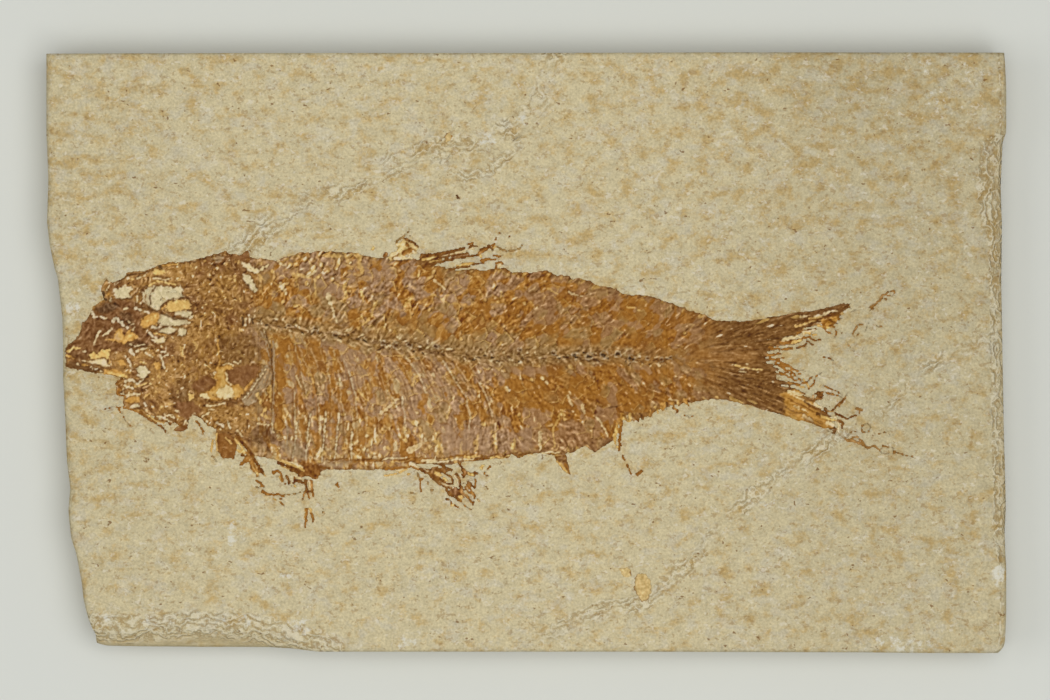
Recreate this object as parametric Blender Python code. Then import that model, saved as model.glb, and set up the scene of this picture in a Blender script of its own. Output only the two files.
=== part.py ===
"""Fossil fish slab: a herring-like fish, pressed flat, set in a split slab of buff limestone.

Metres, +Z up. The origin is the middle of the slab's flat underside. +X runs from the fish's snout towards
its tail and +Y from its belly towards its back. Outlines are lists of (x, y) in millimetres, because that is
how a specimen this size is measured, and MM turns them into metres.
"""

import math

import bmesh
import bpy
from mathutils import Vector, noise
from mathutils.geometry import delaunay_2d_cdt

MM = 0.001

# Driving dimensions, in millimetres.
SLAB_THICKNESS = 10.0
SEAT_DEPTH = 0.6  # how far the fossil is bedded below the slab's face
SEAT_GAP = 0.3  # clearance between a fossil and its bed, below it and all round
EDGE_RISE = 0.15  # how far the fossil's thin margin stands above the face
CROWN_RISE = 0.55  # what the thick middle of the body adds to that
CROWN_REACH = 3.5  # distance from the margin over which the crown builds up
SCALE_PITCH = 2.3
SCALE_RELIEF = 0.16
FACE_WAVE = 0.14  # height of the slow waves on the split face
FACE_WAVE_LENGTH = 11.0
EDGE_STEP = 3.6  # spacing of points round the slab's edge
FACE_STEP = 7.0  # spacing of points over the slab's face

# The slab's plan, from the lower left corner, anticlockwise.
SLAB_EDGE = [
    (-63.3, -44.2), (-45.0, -44.2), (-33.0, -44.6), (-30.0, -45.0), (0.0, -44.9), (40.0, -45.1),
    (70.8, -45.1), (72.0, -44.0), (72.1, -34.0), (71.9, -22.0), (71.4, -10.0), (71.1, 5.0),
    (70.9, 18.0), (71.1, 29.5), (72.1, 32.5), (72.1, 44.3), (71.4, 45.1), (40.0, 45.1),
    (0.0, 45.0), (-40.0, 45.0), (-71.4, 44.9), (-72.1, 44.2), (-71.9, 30.0), (-71.8, 20.0),
    (-71.1, 14.0), (-70.7, 10.0), (-70.4, 5.0), (-70.3, -2.0), (-70.1, -8.0), (-69.4, -17.0),
    (-68.5, -26.0), (-67.6, -32.0), (-66.6, -38.0), (-65.8, -41.8), (-64.6, -43.6),
]
CHIP_WIDTH = 0.5  # the worn arris where the edge is sound
CHIP_DROP = 0.4
# Where the arris has spalled: centre (x, y), reach along the edge, width in from the edge, drop.
SPALLS = [
    ((-50.0, -44.0), 17.0, 2.9, 2.8),
    ((71.0, 4.0), 27.0, 1.9, 1.6),
    ((72.0, -38.0), 9.0, 1.2, 1.1),
    ((-68.6, -26.0), 9.0, 1.1, 1.3),
]
# The sawn and snapped sides: height above the underside and how far that bed stands in from the edge.
SIDE_BEDS = [(6.6, 0.0), (5.9, 0.45), (3.9, 0.1), (2.6, 0.5), (0.8, 0.15), (0.0, 0.7)]
BED_ROUGHNESS = 0.45

# Calcite seams that stand proud of the face, as (x, y) points along each crest.
SEAMS = [
    [(-37.0, 22.0), (-33.0, 25.5), (-27.5, 27.0), (-23.0, 29.5), (-19.0, 28.6), (-14.0, 29.8),
     (-8.0, 29.0), (-3.0, 31.5), (1.5, 35.0), (3.5, 39.0), (4.5, 43.0)],
    [(9.0, -38.5), (16.5, -38.0), (22.0, -34.5), (30.0, -29.0), (37.0, -24.0), (44.0, -18.0),
     (52.0, -11.5), (60.0, -5.0), (68.0, 2.5)],
]
SEAM_RISE = 0.35
SEAM_HALF_WIDTH = 0.9

# The fish's margin, clockwise from the snout: head and back, tail, then belly and throat.
HEAD_TOP = [
    (-68.9, 0.2), (-68.5, 1.5), (-67.2, 2.1), (-66.6, 4.2), (-65.2, 6.4), (-63.5, 7.6), (-63.3, 9.0),
    (-63.9, 10.2), (-62.9, 11.3), (-61.6, 10.5), (-59.6, 11.8), (-57.4, 12.2), (-55.2, 13.2),
    (-51.5, 13.6), (-48.0, 14.5), (-44.9, 15.1), (-43.2, 14.6), (-41.7, 15.3), (-40.8, 14.0),
    (-38.5, 13.7),
]
BACK = [
    (-35.5, 14.6), (-32.0, 15.2), (-27.5, 15.1), (-23.0, 15.0), (-20.5, 14.9), (-19.2, 16.5),
    (-17.9, 16.9), (-16.2, 15.7),
]
DORSAL_FIN = [
    (-12.0, 15.3), (-8.2, 16.5), (-7.7, 15.9), (-4.6, 16.5), (-4.4, 15.7), (-7.2, 14.8), (-13.0, 13.8),
    (-9.6, 13.7), (-6.3, 14.2), (-5.9, 13.4),
]
REAR_BACK = [
    (-4.2, 13.0), (-2.0, 12.6), (0.4, 12.1), (3.2, 12.2), (4.8, 11.5), (6.6, 11.6), (8.4, 10.9),
    (10.4, 10.2), (12.2, 10.0), (14.4, 9.1), (18.0, 8.5), (22.0, 7.2), (26.0, 5.9), (29.0, 5.0),
    (32.0, 4.6),
]
TAIL_UPPER_LOBE = [
    (35.0, 5.0), (38.5, 5.6), (42.0, 6.2), (45.5, 6.9), (48.7, 7.6), (49.2, 6.7), (47.4, 5.9),
    (47.3, 4.5), (46.2, 3.1), (45.2, 4.3), (43.9, 4.0), (43.3, 2.5), (41.4, 1.9), (40.7, 0.4),
    (38.6, 0.2), (36.6, 0.3),
]
TAIL_LOWER_LOBE = [
    (35.2, -1.0), (36.0, -2.6), (37.8, -4.2), (39.3, -5.6), (41.0, -6.3), (42.4, -7.3), (43.9, -6.2),
    (44.9, -7.9), (46.6, -9.1), (46.9, -10.6), (46.2, -12.1), (44.2, -11.1), (42.2, -10.8),
    (39.6, -9.9), (36.5, -8.8), (33.0, -7.8), (30.2, -7.1),
]
REAR_BELLY = [
    (28.0, -7.0), (25.0, -7.4), (21.5, -8.1), (19.5, -8.6), (17.6, -9.8), (15.6, -9.7), (14.5, -10.4),
    (14.5, -13.0), (15.2, -15.8), (14.0, -14.6), (12.4, -14.1), (10.4, -14.8), (8.7, -13.9),
    (7.0, -14.7), (6.5, -17.3), (5.4, -17.0), (4.2, -15.5), (2.0, -15.1), (0.2, -15.5),
    (-3.0, -15.7), (-6.0, -16.2),
]
PELVIC_FIN = [
    (-7.2, -17.2), (-7.0, -18.6), (-8.5, -19.6), (-7.4, -22.1), (-8.6, -22.7), (-9.5, -21.4),
    (-10.2, -23.4), (-11.3, -22.9), (-11.6, -21.2), (-12.6, -20.3), (-14.4, -18.8), (-16.6, -17.8),
]
FRONT_BELLY = [
    (-20.0, -17.7), (-24.0, -17.9), (-28.5, -17.7), (-30.8, -18.5), (-32.2, -19.3), (-32.8, -22.5),
    (-33.8, -19.6), (-34.4, -17.9), (-37.0, -16.9),
]
PECTORAL_FIN = [
    (-39.2, -16.5), (-38.8, -18.9), (-40.2, -19.0), (-42.0, -16.7), (-43.8, -15.9), (-45.5, -15.8),
    (-46.9, -14.3), (-46.8, -12.3), (-48.2, -11.1),
]
THROAT_AND_JAW = [
    (-50.2, -10.7), (-50.8, -11.9), (-52.4, -11.9), (-53.0, -10.6), (-55.4, -9.8), (-57.6, -8.9),
    (-60.2, -8.6), (-60.6, -7.0), (-61.6, -5.8), (-61.2, -4.1), (-62.8, -3.3), (-66.2, -2.6),
    (-68.8, -2.0), (-69.1, -1.0),
]
FISH_MARGIN = (
    HEAD_TOP + BACK + DORSAL_FIN + REAR_BACK + TAIL_UPPER_LOBE + TAIL_LOWER_LOBE + REAR_BELLY
    + PELVIC_FIN + FRONT_BELLY + PECTORAL_FIN + THROAT_AND_JAW
)

BACKBONE = [
    (-40.2, 4.2), (-34.0, 4.0), (-28.0, 2.7), (-20.0, 1.4), (-12.0, 0.2), (-4.0, -0.4), (4.0, -0.7),
    (12.0, -0.6), (20.0, -1.0), (28.0, -0.9),
]
VERTEBRA_PITCH = 1.85
VERTEBRA_RISE = 0.22
VERTEBRA_WAIST = 0.08
VERTEBRA_HALF_HEIGHT = 0.75

RIB_COUNT = 13
FIRST_RIB_X = -36.0
RIB_PITCH = 1.75
RIB_LEAN = 3.4  # how far towards the tail a rib's foot lies from its head
RIB_RISE = 0.2
RIB_HALF_WIDTH = 0.42
BELLY_MARGIN = 2.2  # the ribs end this far above the belly's margin

RAY_RISE = 0.24
RAY_HALF_WIDTH = 0.36
# Fin rays: each fan runs from points along its root to points along its tip.
TAIL_UPPER_RAYS = ([(29.0, 3.4), (29.6, 0.2)], [(47.4, 6.7), (39.4, 1.0)], 5)
TAIL_LOWER_RAYS = ([(29.6, -1.9), (29.4, -5.9)], [(38.0, -5.2), (45.2, -10.8)], 5)
DORSAL_RAYS = ([(-16.0, 14.6), (-15.2, 13.6)], [(-8.6, 16.1), (-5.4, 15.8)], 2)
PELVIC_RAYS = ([(-15.0, -17.4), (-11.0, -17.0)], [(-11.4, -22.2), (-8.2, -20.6)], 4)
PECTORAL_RAYS = ([(-43.6, -14.2), (-41.6, -15.2)], [(-40.2, -18.2), (-39.3, -18.4)], 2)

# Bones of the head: hollows as (centre, radii), ridges as crest points.
HOLLOWS = [
    ((-54.6, 8.5), (3.1, 2.0)),
    ((-60.4, 9.1), (1.5, 0.9)),
    ((-45.6, -5.4), (1.4, 1.8)),
    ((-52.9, 3.5), (2.1, 0.9)),
]
HOLLOW_FLOOR = 0.02
HOLLOW_RIM = 0.14
HOLLOW_CLEARANCE = 0.7
HEAD_RIDGES = [
    [(-67.6, 0.6), (-63.4, 0.9), (-59.0, 1.9), (-55.4, 1.6)],
    [(-67.8, -1.7), (-64.6, -2.3), (-61.8, -3.1), (-58.0, -4.6), (-54.0, -5.0)],
    [(-64.6, 4.6), (-61.8, 5.7), (-58.6, 6.2), (-55.6, 5.4), (-51.2, 5.2)],
    [(-58.0, 11.4), (-51.6, 12.1), (-46.0, 13.2)],
    [(-47.0, 3.6), (-42.6, 3.9), (-39.8, 1.4), (-39.2, -2.4), (-41.2, -6.2), (-44.6, -8.6)],
    [(-47.4, -8.9), (-42.6, -9.6), (-40.0, -12.6), (-36.4, -14.6)],
    [(-50.6, -6.6), (-49.4, -3.0), (-49.6, 1.0), (-48.6, 6.0), (-45.4, 10.0)],
]
HEAD_RIDGE_RISE = 0.26
HEAD_RIDGE_HALF_WIDTH = 0.55
HEAD_END_X = -39.0
HEAD_PITCH = 2.1
HEAD_RELIEF = 0.2

STRAY_SCALE_EDGE = [
    (16.1, -34.2), (16.6, -33.0), (18.0, -33.1), (18.7, -34.2), (18.8, -35.7), (18.4, -37.0),
    (17.5, -37.6), (16.6, -36.7), (16.1, -35.5),
]
STRAY_SCALE_RISE = 0.3
STRAY_SCALE_RIM = 0.12

STONE_COLOUR = (0.53, 0.45, 0.28, 1.0)
FOSSIL_COLOUR = (0.30, 0.145, 0.045, 1.0)
SCALE_COLOUR = (0.58, 0.37, 0.12, 1.0)


def clear_scene():
    for obj in list(bpy.data.objects):
        bpy.data.objects.remove(obj)


def closed_pairs(loop):
    """Each point of a closed loop with the one after it."""
    return zip(loop, loop[1:] + loop[:1])


def resampled(points, step, closed=False):
    """Points along a line about `step` apart, with the line's own points kept."""
    pairs = closed_pairs(points) if closed else zip(points, points[1:])
    found = []
    for start, end in pairs:
        start, end = Vector(start), Vector(end)
        count = max(1, round((end - start).length / step))
        found += [start.lerp(end, i / count) for i in range(count)]
    return found if closed else found + [Vector(points[-1])]


def outward_normals(loop):
    """The outward normal at each point of a closed anticlockwise loop."""
    normals = []
    for i, here in enumerate(loop):
        along = (loop[(i + 1) % len(loop)] - here).normalized() + (here - loop[i - 1]).normalized()
        normals.append(Vector((along.y, -along.x)).normalized())
    return normals


def grown(loop, by):
    """A closed anticlockwise loop moved outwards by `by`, with sharp corners held to twice that."""
    found = []
    for i, (here, normal) in enumerate(zip(loop, outward_normals(loop))):
        ahead = (loop[(i + 1) % len(loop)] - here).normalized()
        across = abs(ahead.x * normal.y - ahead.y * normal.x)
        found.append(here + normal * min(by / max(across, 0.3), 2 * by))
    return found


def distance_to_line(point, line, closed=False):
    """The shortest distance from a point to a line of points."""
    pairs = closed_pairs(line) if closed else zip(line, line[1:])
    best = math.inf
    for start, end in pairs:
        run = end - start
        share = max(0.0, min(1.0, (point - start).dot(run) / max(run.length_squared, 1e-9)))
        best = min(best, (point - start - run * share).length)
    return best


def is_inside(point, loop):
    """Whether a point lies in a closed loop, by the crossings of a ray towards +X."""
    crossings = 0
    for start, end in closed_pairs(loop):
        if (start.y > point.y) != (end.y > point.y):
            at = start.x + (point.y - start.y) * (end.x - start.x) / (end.y - start.y)
            crossings += at > point.x
    return crossings % 2 == 1


def wave(point, length, seed=0.0):
    """Smooth noise from -1 to 1 whose waves are about `length` long."""
    return noise.noise(Vector((point.x / length, point.y / length, seed)))


class Sheet:
    """A surface seen from above: points with heights, and the lines that its triangles have to follow."""

    def __init__(self, height_at):
        self.height_at = height_at
        self.points = []
        self.heights = []
        self.lines = []

    def add_line(self, line, heights, closed=False):
        first = len(self.points)
        self.points += line
        self.heights += heights
        last = len(self.points) - 1
        self.lines += [(i, i + 1) for i in range(first, last)]
        if closed:
            self.lines.append((last, first))

    def add_ridge(self, crest, rise, half_width, fits):
        """A ridge with a sharp crest and a foot on each side. `fits` says where a point may lie."""
        heights = [self.height_at(p) + rise for p in crest]
        self.add_line(crest, heights)
        for side in (1, -1):
            for i in range(len(crest)):
                run = crest[min(i + 1, len(crest) - 1)] - crest[max(i - 1, 0)]
                foot = crest[i] + Vector((-run.y, run.x)).normalized() * half_width * side
                self.add_point(foot, self.height_at(foot), half_width * 0.7, fits)

    def add_point(self, point, height, clearance, fits):
        if fits(point) and all((point - other).length > clearance for other in self.points):
            self.points.append(point)
            self.heights.append(height)

    def triangles(self, keep):
        """(points with heights, triangles) inside the closed lines, leaving out what `keep` refuses."""
        coords, _, faces, origins, _, _ = delaunay_2d_cdt(self.points, self.lines, [], 1, 1e-5)
        raised = []
        for point, origin in zip(coords, origins):
            height = self.heights[origin[0]] if origin else self.height_at(point)
            raised.append(Vector((point.x, point.y, height)))
        kept = [f for f in faces if keep(sum((coords[i] for i in f), Vector((0, 0))) / len(f))]
        return raised, kept


def sheet_to_bmesh(sheet, keep):
    bm = bmesh.new()
    points, faces = sheet.triangles(keep)
    verts = [bm.verts.new(p * MM) for p in points]
    for face in faces:
        bm.faces.new([verts[i] for i in face])
    bmesh.ops.delete(bm, geom=[v for v in bm.verts if not v.link_faces], context="VERTS")
    return bm


def boundary_loops(bm):
    """Each open boundary of the mesh, as a list of vertices in order."""
    edges = {e for e in bm.edges if e.is_boundary}
    loops = []
    while edges:
        start = edges.pop()
        loop = list(start.verts)
        while True:
            ahead = next((e for e in loop[-1].link_edges if e in edges), None)
            if ahead is None:
                break
            edges.discard(ahead)
            loop.append(ahead.other_vert(loop[-1]))
        loops.append(loop[:-1] if loop[-1] is loop[0] else loop)
    return loops


def wall_to(bm, loop, places):
    """Adds a ring of vertices at `places` and the quads that join it to `loop`."""
    ring = [bm.verts.new(p) for p in places]
    count = len(loop)
    for i in range(count):
        j = (i + 1) % count
        bm.faces.new((loop[i], loop[j], ring[j], ring[i]))
    return ring


def plinth(bm, loop, height):
    """Walls straight down or up from `loop` to a flat face at `height`."""
    ring = wall_to(bm, loop, [Vector((v.co.x, v.co.y, height * MM)) for v in loop])
    bm.faces.new(ring)


def finish_mesh(bm, name, colour, roughness):
    bmesh.ops.recalc_face_normals(bm, faces=bm.faces)
    bmesh.ops.triangulate(bm, faces=bm.faces)
    mesh = bpy.data.meshes.new(name)
    bm.to_mesh(mesh)
    bm.free()
    material = bpy.data.materials.new(name)
    material.use_nodes = True
    shader = material.node_tree.nodes["Principled BSDF"]
    shader.inputs["Base Color"].default_value = colour
    shader.inputs["Roughness"].default_value = roughness
    mesh.materials.append(material)
    obj = bpy.data.objects.new(name, mesh)
    bpy.context.scene.collection.objects.link(obj)
    return obj


def face_height(point):
    """The split face: slow waves on the slab's full thickness."""
    return SLAB_THICKNESS + FACE_WAVE * wave(point, FACE_WAVE_LENGTH)


def spall_at(point):
    """(width, drop) of the worn or spalled arris at a point on the slab's edge."""
    width, drop = CHIP_WIDTH, CHIP_DROP
    for centre, reach, spall_width, spall_drop in SPALLS:
        share = max(0.0, 1.0 - ((point - Vector(centre)).length / reach) ** 4)
        width += (spall_width - CHIP_WIDTH) * share
        drop += (spall_drop - CHIP_DROP) * share
    ragged = 1.0 + 0.45 * wave(point, 3.1, seed=4.0)
    return width * ragged, drop * ragged


def slab_sheet(edge, beds):
    """The slab's face, with its worn margin, its calcite seams and the mouths of the fossils' beds."""
    sheet = Sheet(face_height)
    rim = [p - n * spall_at(p)[0] for p, n in zip(edge, outward_normals(edge))]
    sheet.add_line(rim, [face_height(p) for p in rim], closed=True)
    for bed in beds:
        sheet.add_line(bed, [face_height(p) for p in bed], closed=True)

    def on_open_face(point):
        clear_of_beds = all(
            not is_inside(point, bed) and distance_to_line(point, bed, True) > 0.8 for bed in beds
        )
        return clear_of_beds and is_inside(point, rim) and distance_to_line(point, rim, True) > 1.0

    for seam in SEAMS:
        crest = [p for p in resampled(seam, 3.0) if on_open_face(p)]
        crest = [p + Vector((0.0, 0.9 * wave(p, 2.7, seed=7.0))) for p in crest]
        sheet.add_ridge(crest, SEAM_RISE, SEAM_HALF_WIDTH, on_open_face)
    for row in range(-6, 7):
        for column in range(-11, 12):
            shift = 0.5 * (row % 2)
            point = Vector(((column + shift) * FACE_STEP, row * FACE_STEP))
            sheet.add_point(point, face_height(point), FACE_STEP * 0.4, on_open_face)
    return sheet, rim


def make_slab(beds):
    edge = resampled(SLAB_EDGE, EDGE_STEP, closed=True)
    normals = outward_normals(edge)
    sheet, rim = slab_sheet(edge, beds)
    bm = sheet_to_bmesh(
        sheet, lambda p: is_inside(p, rim) and not any(is_inside(p, bed) for bed in beds)
    )
    loops = boundary_loops(bm)
    loops.sort(key=lambda loop: -max(v.co.x for v in loop))
    outer, inner = loops[0], loops[1:]

    # Each boundary vertex knows its place round the edge by the rim point that it stands on.
    order = []
    for vert in outer:
        here = Vector((vert.co.x, vert.co.y)) / MM
        order.append(min(range(len(rim)), key=lambda i: (rim[i] - here).length))

    def ring_at(height, inset):
        """Places round the slab at one bed: rough, but never outside the slab's plan."""
        places = []
        for i in order:
            rough = BED_ROUGHNESS * abs(wave(edge[i], 4.3, seed=height)) if height > 0 else 0.0
            spot = edge[i] - normals[i] * (inset + rough)
            places.append(Vector((spot.x, spot.y, height)) * MM)
        return places

    ledge, shoulder = [], []
    for i in order:
        width, drop = spall_at(edge[i])
        top = face_height(rim[i])
        half = edge[i] - normals[i] * width * 0.45
        ledge.append(Vector((half.x, half.y, top - drop * 0.35)) * MM)
        shoulder.append(Vector((edge[i].x, edge[i].y, top - drop)) * MM)
    ring = wall_to(bm, outer, ledge)
    ring = wall_to(bm, ring, shoulder)
    for height, inset in SIDE_BEDS:
        ring = wall_to(bm, ring, ring_at(height, inset))
    bm.faces.new(ring)
    for loop in inner:
        plinth(bm, loop, SLAB_THICKNESS - SEAT_DEPTH - SEAT_GAP)
    return finish_mesh(bm, "limestone_slab", STONE_COLOUR, 0.85)


class FishSkin:
    """The fish's crowned surface, and where its relief may stand."""

    def __init__(self, margin):
        self.margin = margin

    def height(self, point):
        reach = distance_to_line(point, self.margin, True)
        return SLAB_THICKNESS + EDGE_RISE + CROWN_RISE * (1.0 - math.exp(-reach / CROWN_REACH))

    def fits(self, point):
        return is_inside(point, self.margin) and distance_to_line(point, self.margin, True) > 0.55

    def fits_round_hollows(self, point):
        for (x, y), (reach_x, reach_y) in HOLLOWS:
            across = (point.x - x) / (reach_x + HOLLOW_CLEARANCE)
            along = (point.y - y) / (reach_y + HOLLOW_CLEARANCE)
            if math.hypot(across, along) < 1.0:
                return False
        return self.fits(point)


def add_hollows(sheet):
    """Eye socket and gaps between the bones: a raised rim round a floor near the slab's face."""
    floor = SLAB_THICKNESS + HOLLOW_FLOOR
    for centre, radii in HOLLOWS:
        count = max(8, round(radii[0] * 5))
        angles = [2 * math.pi * i / count for i in range(count)]
        spokes = [Vector((radii[0] * math.cos(a), radii[1] * math.sin(a))) for a in angles]
        spokes = [p * (1.0 + 0.12 * math.sin(3 * a)) for p, a in zip(spokes, angles)]
        rim = [Vector(centre) + p for p in spokes]
        sheet.add_line(rim, [sheet.height_at(p) + HOLLOW_RIM for p in rim], closed=True)
        inner = [Vector(centre) + p * 0.74 for p in spokes]
        sheet.add_line(inner, [floor] * count, closed=True)


def add_backbone(sheet, fits):
    """A row of spools: a raised end, a narrow waist, and the next raised end."""
    centres = resampled(BACKBONE, VERTEBRA_PITCH / 2)
    for i, point in enumerate(centres):
        rise = VERTEBRA_RISE if i % 2 == 0 else VERTEBRA_WAIST
        half = VERTEBRA_HALF_HEIGHT * (1.0 if i % 2 == 0 else 0.6)
        sheet.add_point(point, sheet.height_at(point) + rise, 0.4, fits)
        for side in (1, -1):
            foot = point + Vector((0.0, side * half))
            sheet.add_point(foot, sheet.height_at(foot), 0.3, fits)


def rib_crest(index, margin):
    """One rib: it leaves the backbone leaning towards the tail and hangs down to the belly."""
    head_x = FIRST_RIB_X + index * RIB_PITCH
    spine = min(resampled(BACKBONE, 0.5), key=lambda p: abs(p.x - head_x))
    foot_x = head_x + RIB_LEAN
    below = [p.y for p in resampled(margin, 0.8, closed=True) if abs(p.x - foot_x) < 1.2 and p.y < -8.0]
    foot_y = max(below) + BELLY_MARGIN
    crest = []
    for step in range(5):
        share = step / 4
        drop = spine.y - 1.6 + (foot_y - spine.y + 1.6) * share
        crest.append(Vector((head_x + RIB_LEAN * math.sin(share * math.pi / 2), drop)))
    return crest


def add_rays(sheet, fan, fits):
    roots, tips, count = fan
    for i in range(count):
        share = i / max(1, count - 1)
        root = Vector(roots[0]).lerp(Vector(roots[1]), share)
        tip = Vector(tips[0]).lerp(Vector(tips[1]), share)
        crest = [root.lerp(tip, s / 4) for s in range(5)]
        crest = [p for p in crest if fits(p)]
        if len(crest) > 1:
            sheet.add_ridge(crest, RAY_RISE, RAY_HALF_WIDTH, fits)


def add_scales(sheet, fits):
    """Overlapping scales in staggered rows: each stands highest at its rear edge."""
    for row in range(-8, 9):
        for column in range(-20, 18):
            centre = Vector(((column + 0.5 * (row % 2)) * SCALE_PITCH, row * SCALE_PITCH * 0.86))
            centre += Vector((wave(centre, 1.9, seed=2.0), wave(centre, 1.9, seed=3.0))) * 0.5
            if centre.x < HEAD_END_X or centre.x > 29.0:
                continue
            lift = SCALE_RELIEF * (0.7 + 0.6 * abs(wave(centre, 1.3, seed=5.0)))
            crown = centre + Vector((SCALE_PITCH * 0.25, 0.0))
            sheet.add_point(crown, sheet.height_at(crown) + lift, 0.55, fits)
            valley = centre + Vector((SCALE_PITCH * 0.58, 0.0))
            sheet.add_point(valley, sheet.height_at(valley) - 0.03, 0.55, fits)


def add_head_bones(sheet, fits):
    """Crushed bone between the head's ridges: broken plates that stand at uneven heights."""
    for row in range(-7, 9):
        for column in range(-34, -17):
            point = Vector((column + 0.5 * (row % 2), row * 0.86)) * HEAD_PITCH
            point += Vector((wave(point, 1.7, seed=8.0), wave(point, 1.7, seed=9.0))) * 0.8
            if point.x < HEAD_END_X:
                lift = HEAD_RELIEF * wave(point, 1.1, seed=6.0)
                sheet.add_point(point, sheet.height_at(point) + lift, 0.8, fits)


def make_fish(margin):
    skin = FishSkin(margin)
    sheet = Sheet(skin.height)
    sheet.add_line(margin, [SLAB_THICKNESS + EDGE_RISE] * len(margin), closed=True)
    fits = skin.fits_round_hollows
    add_hollows(sheet)
    for ridge in HEAD_RIDGES:
        crest = [p for p in resampled(ridge, 1.6) if fits(p)]
        sheet.add_ridge(crest, HEAD_RIDGE_RISE, HEAD_RIDGE_HALF_WIDTH, fits)
    add_backbone(sheet, fits)
    for index in range(RIB_COUNT):
        crest = [p for p in rib_crest(index, margin) if fits(p)]
        sheet.add_ridge(crest, RIB_RISE, RIB_HALF_WIDTH, fits)
    for fan in (TAIL_UPPER_RAYS, TAIL_LOWER_RAYS, DORSAL_RAYS, PELVIC_RAYS, PECTORAL_RAYS):
        add_rays(sheet, fan, fits)
    add_head_bones(sheet, fits)
    add_scales(sheet, fits)
    bm = sheet_to_bmesh(sheet, lambda p: is_inside(p, margin))
    plinth(bm, boundary_loops(bm)[0], SLAB_THICKNESS - SEAT_DEPTH)
    return finish_mesh(bm, "fossil_fish", FOSSIL_COLOUR, 0.6)


def make_stray_scale(edge):
    """One scale that drifted off the fish: a thin plate with a domed middle."""
    sheet = Sheet(lambda p: SLAB_THICKNESS + STRAY_SCALE_RISE)
    sheet.add_line(edge, [SLAB_THICKNESS + STRAY_SCALE_RIM] * len(edge), closed=True)
    middle = sum(edge, Vector((0.0, 0.0))) / len(edge)
    dome = [middle.lerp(p, 0.45) for p in edge]
    sheet.add_line(dome, [SLAB_THICKNESS + STRAY_SCALE_RISE] * len(edge), closed=True)
    bm = sheet_to_bmesh(sheet, lambda p: is_inside(p, edge))
    plinth(bm, boundary_loops(bm)[0], SLAB_THICKNESS - SEAT_DEPTH)
    return finish_mesh(bm, "stray_scale", SCALE_COLOUR, 0.5)


def main():
    clear_scene()
    # Both are listed clockwise, and the outline functions want them anticlockwise.
    fish_margin = resampled(FISH_MARGIN[::-1], 2.6, closed=True)
    scale_edge = [Vector(p) for p in STRAY_SCALE_EDGE[::-1]]
    make_slab([grown(fish_margin, SEAT_GAP), grown(scale_edge, SEAT_GAP)])
    make_fish(fish_margin)
    make_stray_scale(scale_edge)


main()
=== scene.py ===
"""A fossil fish slab: a herring-like fish, pressed flat and split open in a slab of buff limestone.

Everything is in metres, in the frame of the solid model: the origin is the middle of the slab's underside,
+X runs from the fish's snout to its tail, +Y from its belly to its back, and +Z is up. Outlines and marks are
written in millimetres in that same plane, because that is how a specimen of this size is measured.
"""

from __future__ import annotations

import logging
import math
from dataclasses import dataclass, field
from enum import Enum
from typing import Any, Sequence

import bpy
import numpy as np
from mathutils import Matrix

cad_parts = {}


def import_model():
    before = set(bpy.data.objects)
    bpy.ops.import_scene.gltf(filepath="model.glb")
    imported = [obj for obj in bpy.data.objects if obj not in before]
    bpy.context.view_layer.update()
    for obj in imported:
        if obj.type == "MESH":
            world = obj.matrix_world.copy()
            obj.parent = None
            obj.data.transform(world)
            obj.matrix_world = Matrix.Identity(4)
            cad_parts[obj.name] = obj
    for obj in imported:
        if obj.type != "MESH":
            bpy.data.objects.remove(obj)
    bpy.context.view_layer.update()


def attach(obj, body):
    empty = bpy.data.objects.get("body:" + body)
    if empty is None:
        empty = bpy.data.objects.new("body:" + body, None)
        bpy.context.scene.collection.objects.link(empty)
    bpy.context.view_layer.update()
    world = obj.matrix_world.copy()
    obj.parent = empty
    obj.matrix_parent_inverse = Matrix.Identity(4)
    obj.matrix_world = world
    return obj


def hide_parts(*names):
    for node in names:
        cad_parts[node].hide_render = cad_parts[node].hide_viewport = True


LOG = logging.getLogger("fossil_fish_slab")

MM = 0.001
ROOT = "root"

# Millimetres.
LENGTH = 144.2  # the slab along X
WIDTH = 90.2  # the slab along Y
FACE_Z = 10.0  # the split face's mean height above the underside
BARE = -0.5  # how high a film lies over the face where there is no film
CUT_BELOW = -0.16  # a film is cut away where it lies lower than this
FILM_FLOOR = FACE_Z - 0.55  # the flat underside of every film
TRACES_FROM = 47.2  # past this x the fin rays have left only a faint stain

Point = tuple[float, float]
Path = Sequence[Point]
Array = np.ndarray
Colour = tuple[int, int, int]
Socket = bpy.types.NodeSocket
Value = Socket | float


# ---- Numbers: colours, smooth noise and distances ----


def linear(red: int, green: int, blue: int) -> Array:
    """A display colour in 0 to 255 as linear light."""
    value = np.array([red, green, blue], dtype=float) / 255.0
    return np.where(value <= 0.04045, value / 12.92, ((value + 0.055) / 1.055) ** 2.4)


def to_display(light: Array) -> Array:
    """Linear light as display values from 0 to 1."""
    light = np.clip(light, 0.0, 1.0)
    return np.where(light <= 0.0031308, light * 12.92, 1.055 * np.maximum(light, 1e-6) ** (1 / 2.4) - 0.055)


def to_light(display: Array) -> Array:
    """Display values from 0 to 1 as linear light."""
    display = np.clip(display, 0.0, 1.0)
    return np.where(display <= 0.04045, display / 12.92, ((display + 0.055) / 1.055) ** 2.4)


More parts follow.
